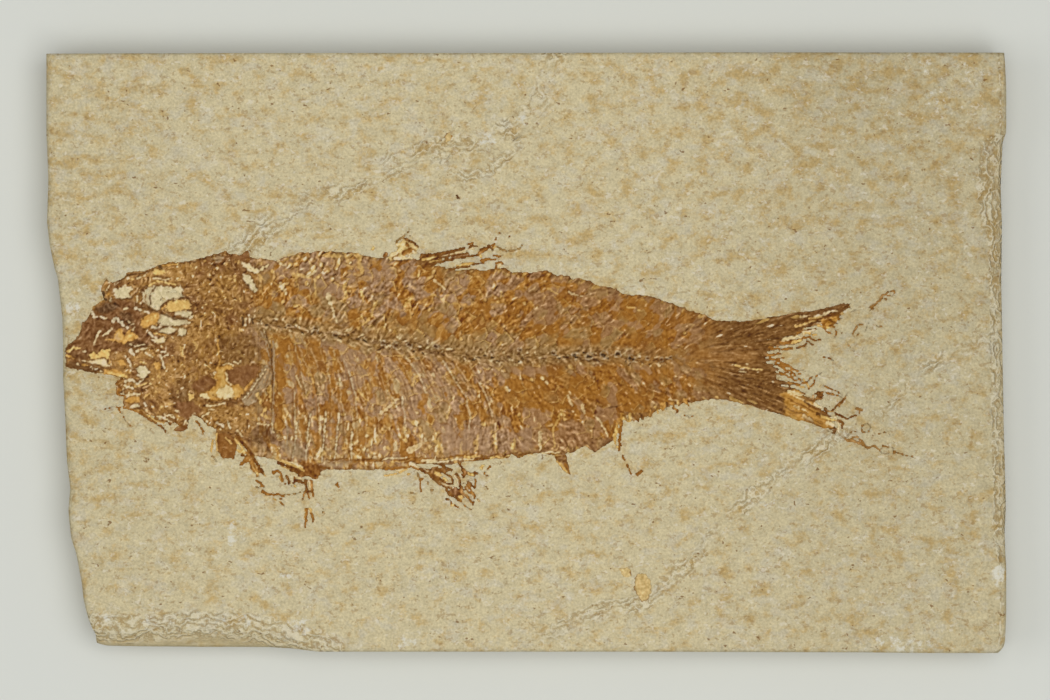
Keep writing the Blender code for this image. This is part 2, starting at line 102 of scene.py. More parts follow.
class Tone(Enum):
    """The mineral colours of the fossil and the rock round it, and the painted shade in the gaps round its bones."""

    ORANGE = (156, 104, 37)
    RUST = (136, 88, 36)
    MAUVE = (158, 125, 94)
    OLIVE = (152, 121, 74)
    BROWN = (134, 93, 47)
    UMBER = (98, 63, 28)
    # Painted shade for the gaps round bones and strokes.
    CRACK_SHADE = (118, 79, 38)
    BLACK = (58, 38, 18)
    TAN = (180, 143, 94)
    GOLD = (206, 168, 96)
    OCHRE = (188, 138, 62)
    CREAM = (216, 195, 146)
    AMBER = (205, 178, 120)
    STONE = (197, 183, 143)
    WHITE = (212, 200, 164)
    GREY = (158, 136, 104)
    PLUM = (122, 79, 42)
    EMBER = (120, 74, 18)
    RAY = (150, 98, 32)
    TRACE = (145, 103, 49)

    @property
    def light(self) -> Array:
        """The tone as linear light."""
        return linear(*self.value)


def xy(text: str) -> Path:
    """A path written as x,y pairs in millimetres, with spaces between them."""
    return tuple(tuple(map(float, pair.split(","))) for pair in text.split())


def marks(table: str) -> list[tuple[Tone, float | None, Path]]:
    """Reads a table of marks, whose rows hold a tone, a number in millimetres and the mark's points.

    Args:
        table: the rows. One without a tone keeps the tone above it, and a line that starts with a space
            goes on with the row before.

    Returns:
        Each mark's tone, number and path. A dash for the number gives None.
    """
    found, tone = [], None
    for row in table.strip().replace("\n ", " ").splitlines():
        words = row.split()
        if words[0] in Tone.__members__:
            tone = Tone[words.pop(0)]
        number = None if words[0] == "-" else float(words[0])
        found.append((tone, number, xy(" ".join(words[1:]))))
    return found


def smoothstep(low: float, high: float, value: Array) -> Array:
    """0 below `low`, 1 above `high`, and a smooth rise between them."""
    share = np.clip((value - low) / (high - low), 0.0, 1.0)
    return share * share * (3.0 - 2.0 * share)


def mix(first: Array, second: Array, share: Array) -> Array:
    """Blends two colours, or two plain numbers, at each place.

    Args:
        first: what shows where `share` is 0.
        second: what shows where `share` is 1.
        share: one number for each place.

    Returns:
        The blend.
    """
    if np.ndim(first) == np.ndim(share) + 1 or np.ndim(second) == np.ndim(share) + 1:
        share = np.asarray(share)[..., None]
    return first + (second - first) * share


@dataclass(frozen=True)
class SmoothNoise:
    """Repeatable smooth noise from 0 to 1, with waves about `pitch` millimetres long."""

    pitch: float
    seed: int
    octaves: int = 1
    size: int = 128

    def at(self, x: Array, y: Array) -> Array:
        """The noise at each place.

        Args:
            x: the places along the slab.
            y: the places across it.

        Returns:
            Values from 0 to 1.
        """
        total, weight, pitch = 0.0, 0.0, self.pitch
        for octave in range(self.octaves):
            share = 0.5**octave
            total = total + share * self._layer(x / pitch, y / pitch, self.seed + 101 * octave)
            weight += share
            pitch *= 0.5
        return total / weight

    def signed(self, x: Array, y: Array) -> Array:
        """The noise at each place, from -1 to 1."""
        return 2.0 * self.at(x, y) - 1.0

    def _layer(self, u: Array, v: Array, seed: int) -> Array:
        """One octave.

        Args:
            u: the places along, in waves.
            v: the places across, in waves.
            seed: which noise.

        Returns:
            Values from 0 to 1.
        """
        lattice = np.random.default_rng(seed).random((self.size, self.size))
        column, row = np.floor(u).astype(int), np.floor(v).astype(int)
        across, along = u - column, v - row
        across = across * across * (3.0 - 2.0 * across)
        along = along * along * (3.0 - 2.0 * along)
        left, right = column % self.size, (column + 1) % self.size
        low, high = row % self.size, (row + 1) % self.size
        bottom = lattice[low, left] * (1 - across) + lattice[low, right] * across
        top = lattice[high, left] * (1 - across) + lattice[high, right] * across
        return bottom * (1 - along) + top * along


def distance_to_path(x: Array, y: Array, line: Path) -> tuple[Array, Array]:
    """Measures how far each place is from a path.

    Args:
        x: the places along the slab.
        y: the places across it.
        line: the path's points.

    Returns:
        The distance, and how far along the path the nearest point is, from 0 to 1.
    """
    best = np.full(x.shape, np.inf)
    share_along = np.zeros(x.shape)
    lengths = [math.dist(a, b) for a, b in zip(line, line[1:])]
    whole = max(sum(lengths), 1e-9)
    done = 0.0
    for (ax, ay), (bx, by), length in zip(line, line[1:], lengths):
        dx, dy = bx - ax, by - ay
        share = np.clip(((x - ax) * dx + (y - ay) * dy) / max(length * length, 1e-9), 0.0, 1.0)
        away = np.hypot(x - ax - dx * share, y - ay - dy * share)
        nearer = away < best
        best = np.where(nearer, away, best)
        share_along = np.where(nearer, (done + share * length) / whole, share_along)
        done += length
    return best, share_along


def depth_inside(x: Array, y: Array, outline: Path) -> Array:
    """Measures how deep each place lies in an outline.

    Args:
        x: the places along the slab.
        y: the places across it.
        outline: the outline's points. The last one joins the first.

    Returns:
        The distance to the outline, negative outside it.
    """
    loop = list(outline) + [outline[0]]
    away, _ = distance_to_path(x, y, loop)
    inside = np.zeros(x.shape, dtype=bool)
    for (ax, ay), (bx, by) in zip(loop, loop[1:]):
        if ay == by:
            continue
        crosses = (ay > y) != (by > y)
        inside ^= crosses & (x < ax + (y - ay) * (bx - ax) / (by - ay))
    return np.where(inside, away, -away)


def follow(values: Path, x: Array) -> Array:
    """The second number of a path's points at each first number."""
    return np.interp(x, [p[0] for p in values], [p[1] for p in values])


# ---- The rock face that everything lies on ----


@dataclass(frozen=True)
class RockFace:
    """The split face's slow waves and its fine orange-peel relief."""

    wave_pitch: float = 17.0
    wave_height: float = 0.10
    peel_pitch: float = 1.9
    peel_height: float = 0.055

    def height(self, x: Array, y: Array) -> Array:
        """The face's height above the underside, in millimetres."""
        waves = SmoothNoise(self.wave_pitch, 11, octaves=2).signed(x, y)
        peel = SmoothNoise(self.peel_pitch, 12, octaves=2).signed(x, y)
        return FACE_Z + self.wave_height * waves + self.peel_height * peel


ROCK = RockFace()


# ---- Small helpers for mesh work by operator ----


def activate(obj: bpy.types.Object) -> None:
    """Makes `obj` the only selected object."""
    bpy.ops.object.select_all(action="DESELECT")
    obj.select_set(True)
    bpy.context.view_layer.objects.active = obj


def edit(obj: bpy.types.Object, vertices: Array | None = None) -> None:
    """Opens a mesh in edit mode.

    Args:
        obj: the mesh's object.
        vertices: which vertices are selected, or None for none.
    """
    activate(obj)
    mesh = obj.data
    chosen = np.zeros(len(mesh.vertices), dtype=bool) if vertices is None else vertices
    mesh.polygons.foreach_set("select", np.zeros(len(mesh.polygons), dtype=bool))
    mesh.edges.foreach_set("select", np.zeros(len(mesh.edges), dtype=bool))
    mesh.vertices.foreach_set("select", chosen)
    bpy.context.scene.tool_settings.mesh_select_mode = (True, False, False)
    bpy.ops.object.mode_set(mode="EDIT")
    bpy.ops.mesh.select_mode(type="VERT")


def leave_edit() -> None:
    """Goes back to object mode."""
    bpy.ops.object.mode_set(mode="OBJECT")


def select_open_edges() -> None:
    """Selects the open edges of the mesh that is being edited."""
    bpy.ops.mesh.select_non_manifold(
        extend=False, use_wire=False, use_boundary=True, use_multi_face=False,
        use_non_contiguous=False, use_verts=False,
    )


def chosen_vertices(mesh: bpy.types.Mesh) -> Array:
    """Which of the mesh's vertices are selected."""
    chosen = np.empty(len(mesh.vertices), dtype=bool)
    mesh.vertices.foreach_get("select", chosen)
    return chosen


def places(mesh: bpy.types.Mesh) -> Array:
    """The mesh's vertices, in millimetres."""
    flat = np.empty(len(mesh.vertices) * 3)
    mesh.vertices.foreach_get("co", flat)
    return flat.reshape(-1, 3) / MM


def put_places(mesh: bpy.types.Mesh, spots: Array) -> None:
    """Moves the mesh's vertices to `spots`, in millimetres."""
    mesh.vertices.foreach_set("co", (spots * MM).ravel())
    mesh.update()


def store(mesh: bpy.types.Mesh, name: str, values: Array) -> None:
    """Stores values on a mesh's vertices.

    Args:
        mesh: the mesh.
        name: the attribute's name.
        values: one number or one colour for each vertex.
    """
    if values.ndim == 1:
        layer = mesh.attributes.new(name, "FLOAT", "POINT")
        layer.data.foreach_set("value", values.astype(np.float32))
    else:
        layer = mesh.attributes.new(name, "FLOAT_COLOR", "POINT")
        opaque = np.ones((len(values), 4), dtype=np.float32)
        opaque[:, :3] = values
        layer.data.foreach_set("color", opaque.ravel())


def grid_object(name: str, low: Point, high: Point, columns: int, rows: int) -> bpy.types.Object:
    """Adds a flat grid.

    Args:
        name: the object's name.
        low: the corner with the least x and y, in millimetres.
        high: the corner opposite.
        columns: how many cells along x.
        rows: how many cells along y.

    Returns:
        The grid's object.
    """
    bpy.ops.mesh.primitive_grid_add(x_subdivisions=columns, y_subdivisions=rows, size=1.0)
    obj = bpy.context.object
    obj.name = obj.data.name = name
    spots = places(obj.data)
    spots[:, 0] = low[0] + (spots[:, 0] * MM + 0.5) * (high[0] - low[0])
    spots[:, 1] = low[1] + (spots[:, 1] * MM + 0.5) * (high[1] - low[1])
    put_places(obj.data, spots)
    return obj


def skirt(obj: bpy.types.Object, floor: float) -> None:
    """Closes an open sheet with walls down to a flat underside.

    Args:
        obj: the sheet.
        floor: the underside's height, in millimetres.
    """
    edit(obj)
    select_open_edges()
    bpy.ops.mesh.extrude_region_move(TRANSFORM_OT_translate={"value": (0.0, 0.0, -0.1 * MM)})
    leave_edit()
    spots, low = places(obj.data), chosen_vertices(obj.data)
    spots[low, 2] = floor
    put_places(obj.data, spots)
    edit(obj, low)
    bpy.ops.mesh.select_mode(type="EDGE")
    bpy.ops.mesh.fill(use_beauty=False)
    bpy.ops.mesh.select_all(action="SELECT")
    bpy.ops.mesh.normals_make_consistent(inside=False)
    leave_edit()


# ---- Finishes ----


class Nodes:
    """A short way to write a node tree."""

    def __init__(self, tree: bpy.types.NodeTree) -> None:
        """Writes into `tree`."""
        self.tree = tree

    def add(self, kind: str, links: dict[str | int, Any] | None = None, **settings: Any) -> bpy.types.Node:
        """Adds a node.

        Args:
            kind: the node's type.
            links: for each input, the socket that feeds it, or its value.
            **settings: the node's own settings.

        Returns:
            The node.
        """
        node = self.tree.nodes.new(kind)
        for key, value in settings.items():
            setattr(node, key, value)
        for socket, source in (links or {}).items():
            target = node.inputs[socket]
            if isinstance(source, Socket):
                self.link(source, target)
            else:
                target.default_value = source
        return node

    def noise(self, vector: Socket, scale: float, detail: float = 2.0, rough: float = 0.5,
              warp: float = 0.0) -> Socket:
        """A noise texture's grey output; `scale` is waves per metre."""
        values = {"Vector": vector, "Scale": scale, "Detail": detail, "Roughness": rough, "Distortion": warp}
        return self.add("ShaderNodeTexNoise", values).outputs[0]

    def step(self, value: Value, low: float, high: float) -> Socket:
        """0 below `low` and 1 above `high`, smoothly."""
        limits = {"Value": value, "From Min": low, "From Max": high, "To Min": 0.0, "To Max": 1.0}
        return self.add("ShaderNodeMapRange", limits, interpolation_type="SMOOTHSTEP").outputs[0]

    def span(self, value: Value, low: float, high: float) -> Socket:
        """A value from 0 to 1 spread from `low` to `high`."""
        return self.add("ShaderNodeMapRange", {"Value": value, "To Min": low, "To Max": high}).outputs[0]

    def math(self, operation: str, first: Value, second: Value = 0.5) -> Socket:
        """Arithmetic on two values."""
        return self.add("ShaderNodeMath", {0: first, 1: second}, operation=operation).outputs[0]

    def times(self, first: Value, second: Value) -> Socket:
        """The product of two values."""
        return self.math("MULTIPLY", first, second)

    def plus(self, first: Value, second: Value) -> Socket:
        """The sum of two values."""
        return self.math("ADD", first, second)

    def grey(self, value: Value) -> Socket:
        """A grey of that brightness."""
        return self.add("ShaderNodeCombineColor", {0: value, 1: value, 2: value}).outputs[0]

    def blend(self, share: Value, first: Socket | Array, second: Socket | Array, kind: str = "MIX") -> Socket:
        """Blends two colours.

        Args:
            share: how much of the second shows, from 0 to 1.
            first: the first colour.
            second: the second colour.
            kind: how they are blended.

        Returns:
            The blended colour.
        """
        node = self.add("ShaderNodeMix", data_type="RGBA", blend_type=kind)
        for socket, source in ((0, share), (6, first), (7, second)):
            if isinstance(source, Socket):
                self.link(source, node.inputs[socket])
            elif socket == 0:
                node.inputs[socket].default_value = source
            else:
                node.inputs[socket].default_value = (*tuple(source)[:3], 1.0)
        return node.outputs[2]

    def attribute(self, name: str, output: str = "Fac") -> Socket:
        """A value or colour stored on the piece's vertices."""
        return self.add("ShaderNodeAttribute", attribute_name=name).outputs[output]

    def group(self, tree: bpy.types.NodeTree, links: dict[str, Any]) -> bpy.types.Node:
        """A shared effect with its inputs."""
        return self.add("ShaderNodeGroup", links, node_tree=tree)

    def link(self, source: Socket, target: Socket) -> None:
        """Feeds one socket from another."""
        self.tree.links.new(source, target)


def new_group(name: str, inputs: dict[str, str], outputs: dict[str, str]) -> tuple[Nodes, dict, dict]:
    """An empty shared effect.

    Args:
        name: the group's name.
        inputs: the type of each input socket.
        outputs: the type of each output socket.

    Returns:
        Its nodes, its inputs and the sockets that its outputs go to.
    """
    tree = bpy.data.node_groups.new(name, "ShaderNodeTree")
    for label, kind in inputs.items():
        tree.interface.new_socket(label, in_out="INPUT", socket_type=kind)
    for label, kind in outputs.items():
        tree.interface.new_socket(label, in_out="OUTPUT", socket_type=kind)
    entry = tree.nodes.new("NodeGroupInput")
    leave = tree.nodes.new("NodeGroupOutput")
    return Nodes(tree), {s.name: s for s in entry.outputs}, {s.name: s for s in leave.inputs}


class SharedEffects:
    """Node groups that more than one finish uses."""

    def __init__(self) -> None:
        """Builds every group."""
        self.grain = self._grain()

    @staticmethod
    def _grain() -> bpy.types.NodeTree:
        """Mineral grain: soft mottle, crystalline glints and a fine height for bump."""
        nodes, given, out = new_group(
            "mineral_grain",
            {"Vector": "NodeSocketVector", "Scale": "NodeSocketFloat"},
            {"Mottle": "NodeSocketFloat", "Grain": "NodeSocketFloat", "Height": "NodeSocketFloat"},
        )
        coarse = nodes.noise(given["Vector"], 420.0, 4.0, 0.62)
        nodes.link(given["Scale"], coarse.node.inputs["Scale"])
        fine_scale = nodes.times(given["Scale"], 4.2)
        fine = nodes.noise(given["Vector"], 1800.0, 3.0, 0.6)
        nodes.link(fine_scale, fine.node.inputs["Scale"])
        height = nodes.plus(nodes.times(coarse, 0.6), nodes.times(fine, 0.4))
        for label, value in (("Mottle", coarse), ("Grain", fine), ("Height", height)):
            nodes.link(value, out[label])
        return nodes.tree


def new_material(name: str) -> tuple[bpy.types.Material, Nodes, bpy.types.Node]:
    """A material, its nodes and its Principled shader."""
    material = bpy.data.materials.new(name)
    material.use_nodes = True
    shader = material.node_tree.nodes["Principled BSDF"]
    return material, Nodes(material.node_tree), shader


@dataclass(frozen=True)
class LimestoneFinish:
    """Buff limestone: pale ground, tan blotches, dark and white specks, crinkled seams and bruises."""

    effects: SharedEffects
    ground: Colour = (200, 187, 149)
    tan: Colour = (188, 162, 109)
    grey: Colour = (199, 191, 166)
    roughness: float = 0.86

    def build(self) -> bpy.types.Material:
        """The finished material. It reads `stain`, `shade`, `bruise`, `fold`, `across` and `side`."""
        material, nodes, shader = new_material("limestone")
        here = nodes.add("ShaderNodeTexCoord").outputs["Object"]
        drawn = nodes.add("ShaderNodeMapping", {"Vector": here, "Scale": (0.88, 1.10, 1.0)}).outputs[0]
        stain = nodes.attribute("stain")

        # Tan blotches of one to three millimetres over a pale ground, and greyer veils between them.
        blotch = nodes.noise(drawn, 400.0, 5.0, 0.66, 0.2)
        cloud = nodes.noise(here, 90.0, 2.0, 0.5)
        gather = nodes.plus(blotch, nodes.times(nodes.math("SUBTRACT", cloud, 0.5), 0.12))
        gather = nodes.plus(gather, nodes.times(stain, 0.05))
        tan = nodes.step(gather, 0.46, 0.68)
        colour = nodes.blend(tan, linear(*self.ground), linear(*self.tan))
        veil = nodes.noise(drawn, 450.0, 4.0, 0.62)
        colour = nodes.blend(nodes.times(nodes.step(veil, 0.50, 0.66), 0.6), colour, linear(*self.grey))

        # Light and dark grain, pores of rusty brown and glints of white.
        grain = nodes.group(self.effects.grain, {"Vector": here, "Scale": 620.0})
        fine = nodes.span(grain.outputs["Grain"], 0.55, 1.45)
        mottle = nodes.span(grain.outputs["Mottle"], 0.76, 1.24)
        for factor in (fine, mottle, nodes.attribute("shade")):
            colour = nodes.blend(1.0, colour, nodes.grey(factor), "MULTIPLY")
        for scale, low, high, share, spot in (
            (1350.0, 0.595, 0.68, 0.45, (148, 115, 68)), (1050.0, 0.695, 0.75, 0.8, (120, 84, 42)),
            (1150.0, 0.61, 0.72, 0.50, (222, 214, 193)),
        ):
            dot = nodes.step(nodes.noise(drawn, scale, 2.0, 0.55, 0.3), low, high)
            colour = nodes.blend(nodes.times(dot, share), colour, linear(*spot))

        # Folds: crumpled ledges along the seams and the broken edges, with a pale painted highlight on each crest and
        # brown painted shade in each crease.
        fold = nodes.attribute("fold")
        bend = nodes.times(nodes.math("SUBTRACT", nodes.noise(here, 360.0, 3.0, 0.6), 0.5), 0.0066)
        away = nodes.plus(nodes.attribute("across"), bend)
        wave = nodes.math("SINE", nodes.times(away, 2.0 * math.pi / 0.00125))
        gaps = nodes.noise(here, 330.0, 3.0, 0.6)
        fold = nodes.step(nodes.plus(gaps, fold), 0.97, 1.37)
        # Painted shade in each crease and a painted highlight on each crest, from the sine across the fold.
        crest_highlight = nodes.times(nodes.step(wave, 0.35, 0.95), fold)
        crease = nodes.times(nodes.step(nodes.times(wave, -1.0), 0.55, 0.98), fold)
        colour = nodes.blend(nodes.times(crease, 0.55), colour, linear(146, 116, 66))
        colour = nodes.blend(nodes.times(crest_highlight, 0.52), colour, linear(224, 215, 188))

        # Bruises: crushed white rock, fading into the face round them.
        bruise = nodes.attribute("bruise")
        crushed = nodes.noise(here, 800.0, 4.0, 0.75)
        crushed = nodes.plus(crushed, nodes.times(bruise, 0.34))
        crushed = nodes.times(nodes.step(crushed, 0.64, 0.82), nodes.step(bruise, 0.0, 0.25))
        colour = nodes.blend(nodes.times(crushed, 0.75), colour, linear(219, 217, 203))

        # Broken sides: fresh rock with thin darker beds.
        side = nodes.attribute("side")
        beds = nodes.add("ShaderNodeMapping", {"Vector": here, "Scale": (60.0, 60.0, 1500.0)})
        layers = nodes.step(nodes.noise(beds.outputs[0], 1.0, 2.0), 0.35, 0.7)
        bedded = nodes.blend(layers, linear(176, 156, 112), linear(206, 190, 150))
        colour = nodes.blend(nodes.times(side, 0.5), colour, bedded)
        nodes.link(colour, shader.inputs["Base Color"])

        rough = nodes.span(grain.outputs["Mottle"], self.roughness - 0.1, self.roughness + 0.1)
        nodes.link(rough, shader.inputs["Roughness"])
        shader.inputs["Specular IOR Level"].default_value = 0.12

        # Relief: grain, orange-peel texture, blotches standing proud, and the folds.
        peel = nodes.noise(here, 760.0, 3.0, 0.6, 0.3)
        height = nodes.plus(nodes.times(peel, 0.6), nodes.times(grain.outputs["Height"], 0.5))
        height = nodes.plus(height, nodes.times(nodes.times(wave, fold), 0.22))
        bump = nodes.add("ShaderNodeBump", {"Height": height, "Strength": 0.85, "Distance": 0.00042})
        nodes.link(bump.outputs[0], shader.inputs["Normal"])
        return material


@dataclass(frozen=True)
class FossilFilmFinish:
    """Fossil bone and scale: the vertices' own tint, broken up by fine fibres and grain."""

    effects: SharedEffects
    name: str = "fossil_film"
    roughness: float = 0.70

    def build(self) -> bpy.types.Material:
        """The finished material. It reads `tint` from the vertices."""
        material, nodes, shader = new_material(self.name)
        here = nodes.add("ShaderNodeTexCoord").outputs["Object"]
        tint = nodes.attribute("tint", "Color")
        grain = nodes.group(self.effects.grain, {"Vector": here, "Scale": 1500.0})
        shade = nodes.span(grain.outputs["Grain"], 0.80, 1.20)
        colour = nodes.blend(1.0, tint, nodes.grey(shade), "MULTIPLY")
        # Painted glints of pale gold, and painted shade: dark specks in tiny pits that the bump also sinks.
        glint = nodes.step(nodes.noise(here, 3400.0, 2.0, 0.6), 0.68, 0.74)
        colour = nodes.blend(nodes.times(glint, 0.35), colour, linear(214, 172, 108))
        pit_shade = nodes.step(nodes.noise(here, 2900.0, 2.0, 0.6, 0.5), 0.70, 0.76)
        colour = nodes.blend(nodes.times(pit_shade, 0.45), colour, linear(80, 52, 30))
        nodes.link(colour, shader.inputs["Base Color"])
        rough = nodes.span(grain.outputs["Mottle"], self.roughness - 0.14, self.roughness + 0.14)
        nodes.link(rough, shader.inputs["Roughness"])
        shader.inputs["Specular IOR Level"].default_value = 0.14
        height = nodes.plus(grain.outputs["Height"], nodes.times(pit_shade, -0.4))
        bump = nodes.add("ShaderNodeBump", {"Height": height, "Strength": 0.6, "Distance": 0.00018})
        nodes.link(bump.outputs[0], shader.inputs["Normal"])
        return material


@dataclass(frozen=True)
class TableFinish:
    """A plain pale studio surface."""

    colour: Colour = (213, 215, 208)

    def build(self) -> bpy.types.Material:
        """The finished material."""
        material, nodes, shader = new_material("pale_table")
        here = nodes.add("ShaderNodeTexCoord").outputs["Object"]
        soft = nodes.noise(here, 9.0, 2.0)
        base = linear(*self.colour)
        nodes.link(nodes.blend(soft, base * 0.985, base * 1.015), shader.inputs["Base Color"])
        shader.inputs["Roughness"].default_value = 0.7
        shader.inputs["Specular IOR Level"].default_value = 0.2
        return material


# ---- The slab ----


@dataclass
class LimestoneSlab:
    """The split slab: its outline, its spalled edges, its seams and its bruises."""

    cell: float = 0.46
    left_edge: Path = xy(
        "-43.6,-64.6 -42.7,-65.1 -41.2,-65.7 -38.5,-66.4 -35.8,-66.7 -32.9,-67.2 -30.9,-67.6 -28.9,-68.3 "
        "-24.7,-68.7 -21.2,-68.4 -17.5,-68.9 -9.8,-69.2 -4.6,-69.5 0.5,-69.5 4.7,-69.6 10.9,-70.3 12.4,-70.8 "
        "15.9,-71.5 19.3,-71.9 26.2,-71.7 33.1,-72 44.9,-72"
    )
    right_edge: Path = xy(
        "-45,70.9 -44.4,71.6 -43.4,71.9 -38.4,72.1 -32.3,72.1 -26.9,71.9 -23.1,72.1 -12.1,71.8 -0.6,71.6 10.9,71.4 "
        "19.3,71.5 25,71.3 31.6,71.6 33.1,72.1 39.6,72.1 45,71.8"
    )
    bottom_edge: Path = xy(
        "-64.6,-43.7 -63,-44.1 -57.8,-44.2 -48.8,-44.3 -38.5,-44.3 -35,-44.5 -31.2,-44.9 17,-44.9 50,-45 59.2,-45.1 "
        "72,-45.1"
    )
    top_edge: Path = xy("-72,44.85 -40,44.95 0,44.95 30,45.05 72,45")
    spall_inner: Path = xy(
        "-68,-41 -63,-41.5 -58.1,-41.6 -53.6,-41.2 -48.8,-40.9 -43.7,-41.1 -38.5,-41.8 -35.7,-42.6 -31.6,-44.3 "
        "-29,-45.3"
    )
    seams: tuple[tuple[Path, float], ...] = (
        (xy("-46,13 -41,17 -35,22 -29,24 -20.6,28 -15,30 -10,31 -5,32 0,35 3,38.5 3.2,42 5,45"), 2.6),
        (xy("-12,31.5 -12,28.5 -9.4,26.4 -5.7,27 -0.6,31.6"), 1.2),
        (xy(
            "1,-43.4 6,-40.8 11.3,-38.4 16.6,-38 19.7,-36.1 24,-32 34.3,-21.2 40,-17.3 46.2,-12.5 55.4,-8.3 "
            "60.3,-2.1 65,0.5 71.4,2.1"
        ), 1.7),
    )
    bruises: tuple[tuple[float, float, float, float, float], ...] = (
        (70.9, -33.3, 0.7, 1.2, 1.1), (59.8, 43.5, 0.5, 1.6, 0.6), (61.4, 38.0, 1.2, 3.0, 0.5),
        (56.0, -43.8, 6.0, 1.4, 0.55), (-43.9, -27.5, 1.5, 2.2, 0.6), (-35.8, -33.5, 1.0, 0.8, 0.6),
        (-62.9, -39.7, 0.6, 0.5, 0.8), (-34.0, -41.0, 2.2, 1.2, 0.6), (-68.3, 6.6, 1.2, 1.5, 0.65),
        (-17.8, -43.6, 1.5, 0.7, 0.6), (35.2, -35.8, 0.7, 0.6, 0.5), (-48.5, 31.0, 0.7, 0.5, 0.5),
        (-56.5, -40.6, 2.6, 0.8, 0.5), (-44.0, -40.4, 4.0, 0.8, 0.5), (-6.0, 31.8, 1.0, 1.1, 0.7),
        (-1.0, 35.0, 0.8, 1.3, 0.55), (36.0, -22.0, 3.0, 1.2, 0.45), (66.0, 41.5, 2.5, 2.0, 0.45),
    )

    def build(self) -> bpy.types.Object:
        """The slab's closed mesh, in millimetres of relief and with the values its finish reads."""
        columns, rows = round(LENGTH / self.cell), round(WIDTH / self.cell)
        slab = grid_object("limestone_slab_body", (0.0, 0.0), (1.0, 1.0), columns, rows)
        spots = places(slab.data)
        self._lay_out(spots)
        self._carve(spots)
        put_places(slab.data, spots)
        self._add_sides(slab)
        self._mark(slab)
        return slab

    def _lay_out(self, spots: Array) -> None:
        """Stretches the unit grid to the slab's plan.

        Args:
            spots: the vertices, in millimetres. They are changed in place.
        """
        across, along = spots[:, 0].copy(), spots[:, 1].copy()
        y = -0.5 * WIDTH + along * WIDTH
        left, right = follow(self.left_edge, y), follow(self.right_edge, y)
        x = left + across * (right - left)
        bottom, top = follow(self.bottom_edge, x), follow(self.top_edge, x)
        reach = 0.5 * LENGTH - 0.02
        spots[:, 0] = np.clip(x, -reach, reach)
        spots[:, 1] = bottom + along * (top - bottom)
        spots[:, 2] = 0.0

    def _carve(self, spots: Array) -> None:
        """Gives the face its relief, and breaks its edges.

        Args:
            spots: the vertices, in millimetres. They are changed in place.
        """
        x, y = spots[:, 0], spots[:, 1]
        height = ROCK.height(x, y)
        ragged = SmoothNoise(2.3, 21, octaves=3).signed(x, y)
        left, right = x - follow(self.left_edge, y), follow(self.right_edge, y) - x
        below, above = y - follow(self.bottom_edge, x), follow(self.top_edge, x) - y

        # The arris: narrow and nearly sharp at the top, softer at the left.
        for away, width, drop in ((left, 0.9, 0.8), (below, 0.6, 0.5), (above, 0.45, 0.45)):
            wear = np.clip(1.0 - (away + 0.25 * ragged) / width, 0.0, 1.0)
            height -= drop * wear**1.5

        # The right edge: rippled shell-shaped chips.
        wide = 0.7 + 2.3 * smoothstep(34.0, 30.0, y) * smoothstep(-33.0, -28.0, y)
        wide += 1.2 * np.exp(-(((y - 27.0) / 5.0) ** 2))
        wide *= 1.0 + 0.45 * SmoothNoise(4.2, 22, octaves=2).signed(y * 0.0, y)
        chip = np.clip(1.0 - (right + 0.25 * ragged) / wide, 0.0, 1.0)
        ripple = 0.12 * np.sin(8.0 * chip + 3.0 * ragged) * chip
        height -= 1.35 * chip**1.3 * (0.35 + 0.65 * smoothstep(0.5, 2.2, wide)) + ripple

        # The lower left: a long spall that steps down bed by bed.
        line = follow(self.spall_inner, x) + 0.5 * ragged
        depth = np.clip((line - y) / 3.2, 0.0, 1.0) * smoothstep(-28.5, -33.0, x)
        depth *= smoothstep(-69.0, -64.5, x) * 0.6 + 0.4
        beds = 5.0  # how many layers the spall breaks into
        bed = depth * beds + 0.35 * ragged
        stepped = (np.floor(bed) + smoothstep(0.55, 1.0, bed % 1.0)) / beds
        height -= 2.6 * np.clip(0.35 * depth + 0.65 * stepped, 0.0, 1.0) * (depth > 0)

        # The seams stand a little proud, in broken crests.
        crinkle = SmoothNoise(1.3, 23, octaves=2).signed(x, y)
        for seam, reach in self.seams:
            away, _ = distance_to_path(x, y, seam)
            height += 0.05 * np.exp(-((away / reach) ** 2)) * (0.3 + crinkle)
        spots[:, 2] = height

    def _add_sides(self, slab: bpy.types.Object) -> None:
        """Walls the slab down bed by bed to its flat underside.

        Args:
            slab: the slab's mesh.
        """
        levels = (-1.4, -2.2, -2.9, -3.7, -4.3, -5.1, -5.9, -6.5, -7.4, -8.3, -9.0, -9.6, -10.0)
        last = len(levels) - 1
        edit(slab)
        select_open_edges()
        for number, level in enumerate(levels):
            bpy.ops.mesh.extrude_region_move(TRANSFORM_OT_translate={"value": (0.0, 0.0, -0.5 * MM)})
            leave_edit()
            spots, chosen = places(slab.data), chosen_vertices(slab.data)
            if number == 0:
                base = spots[chosen].copy()
            rough = SmoothNoise(3.1, 31 + number, octaves=3).at(base[:, 0] + base[:, 1], base[:, 1] - base[:, 0])
            inward = 0.08 + 0.75 * rough * (0.35 + 0.65 * (number % 3 == 1)) + 0.012 * number
            if number == last:
                inward = inward + 0.35
            toward_x = np.where(np.abs(base[:, 0]) > 64.0, -np.sign(base[:, 0]), 0.0)
            toward_y = np.where(np.abs(base[:, 1]) > 43.2, -np.sign(base[:, 1]), 0.0)
            spots[chosen, 0] = base[:, 0] + toward_x * inward
            spots[chosen, 1] = base[:, 1] + toward_y * inward
            start = base[:, 2] if number == 0 else np.minimum(base[:, 2], FACE_Z)
            spots[chosen, 2] = np.minimum(start - 0.25 * (number + 1) * (number < 4), FACE_Z + level)
            if number == last:
                spots[chosen, 2] = 0.0
            put_places(slab.data, spots)
            edit(slab, chosen)
            bpy.ops.mesh.select_mode(type="EDGE")
        bpy.ops.mesh.edge_face_add()
        bpy.ops.mesh.select_all(action="SELECT")
        bpy.ops.mesh.normals_make_consistent(inside=False)
        leave_edit()

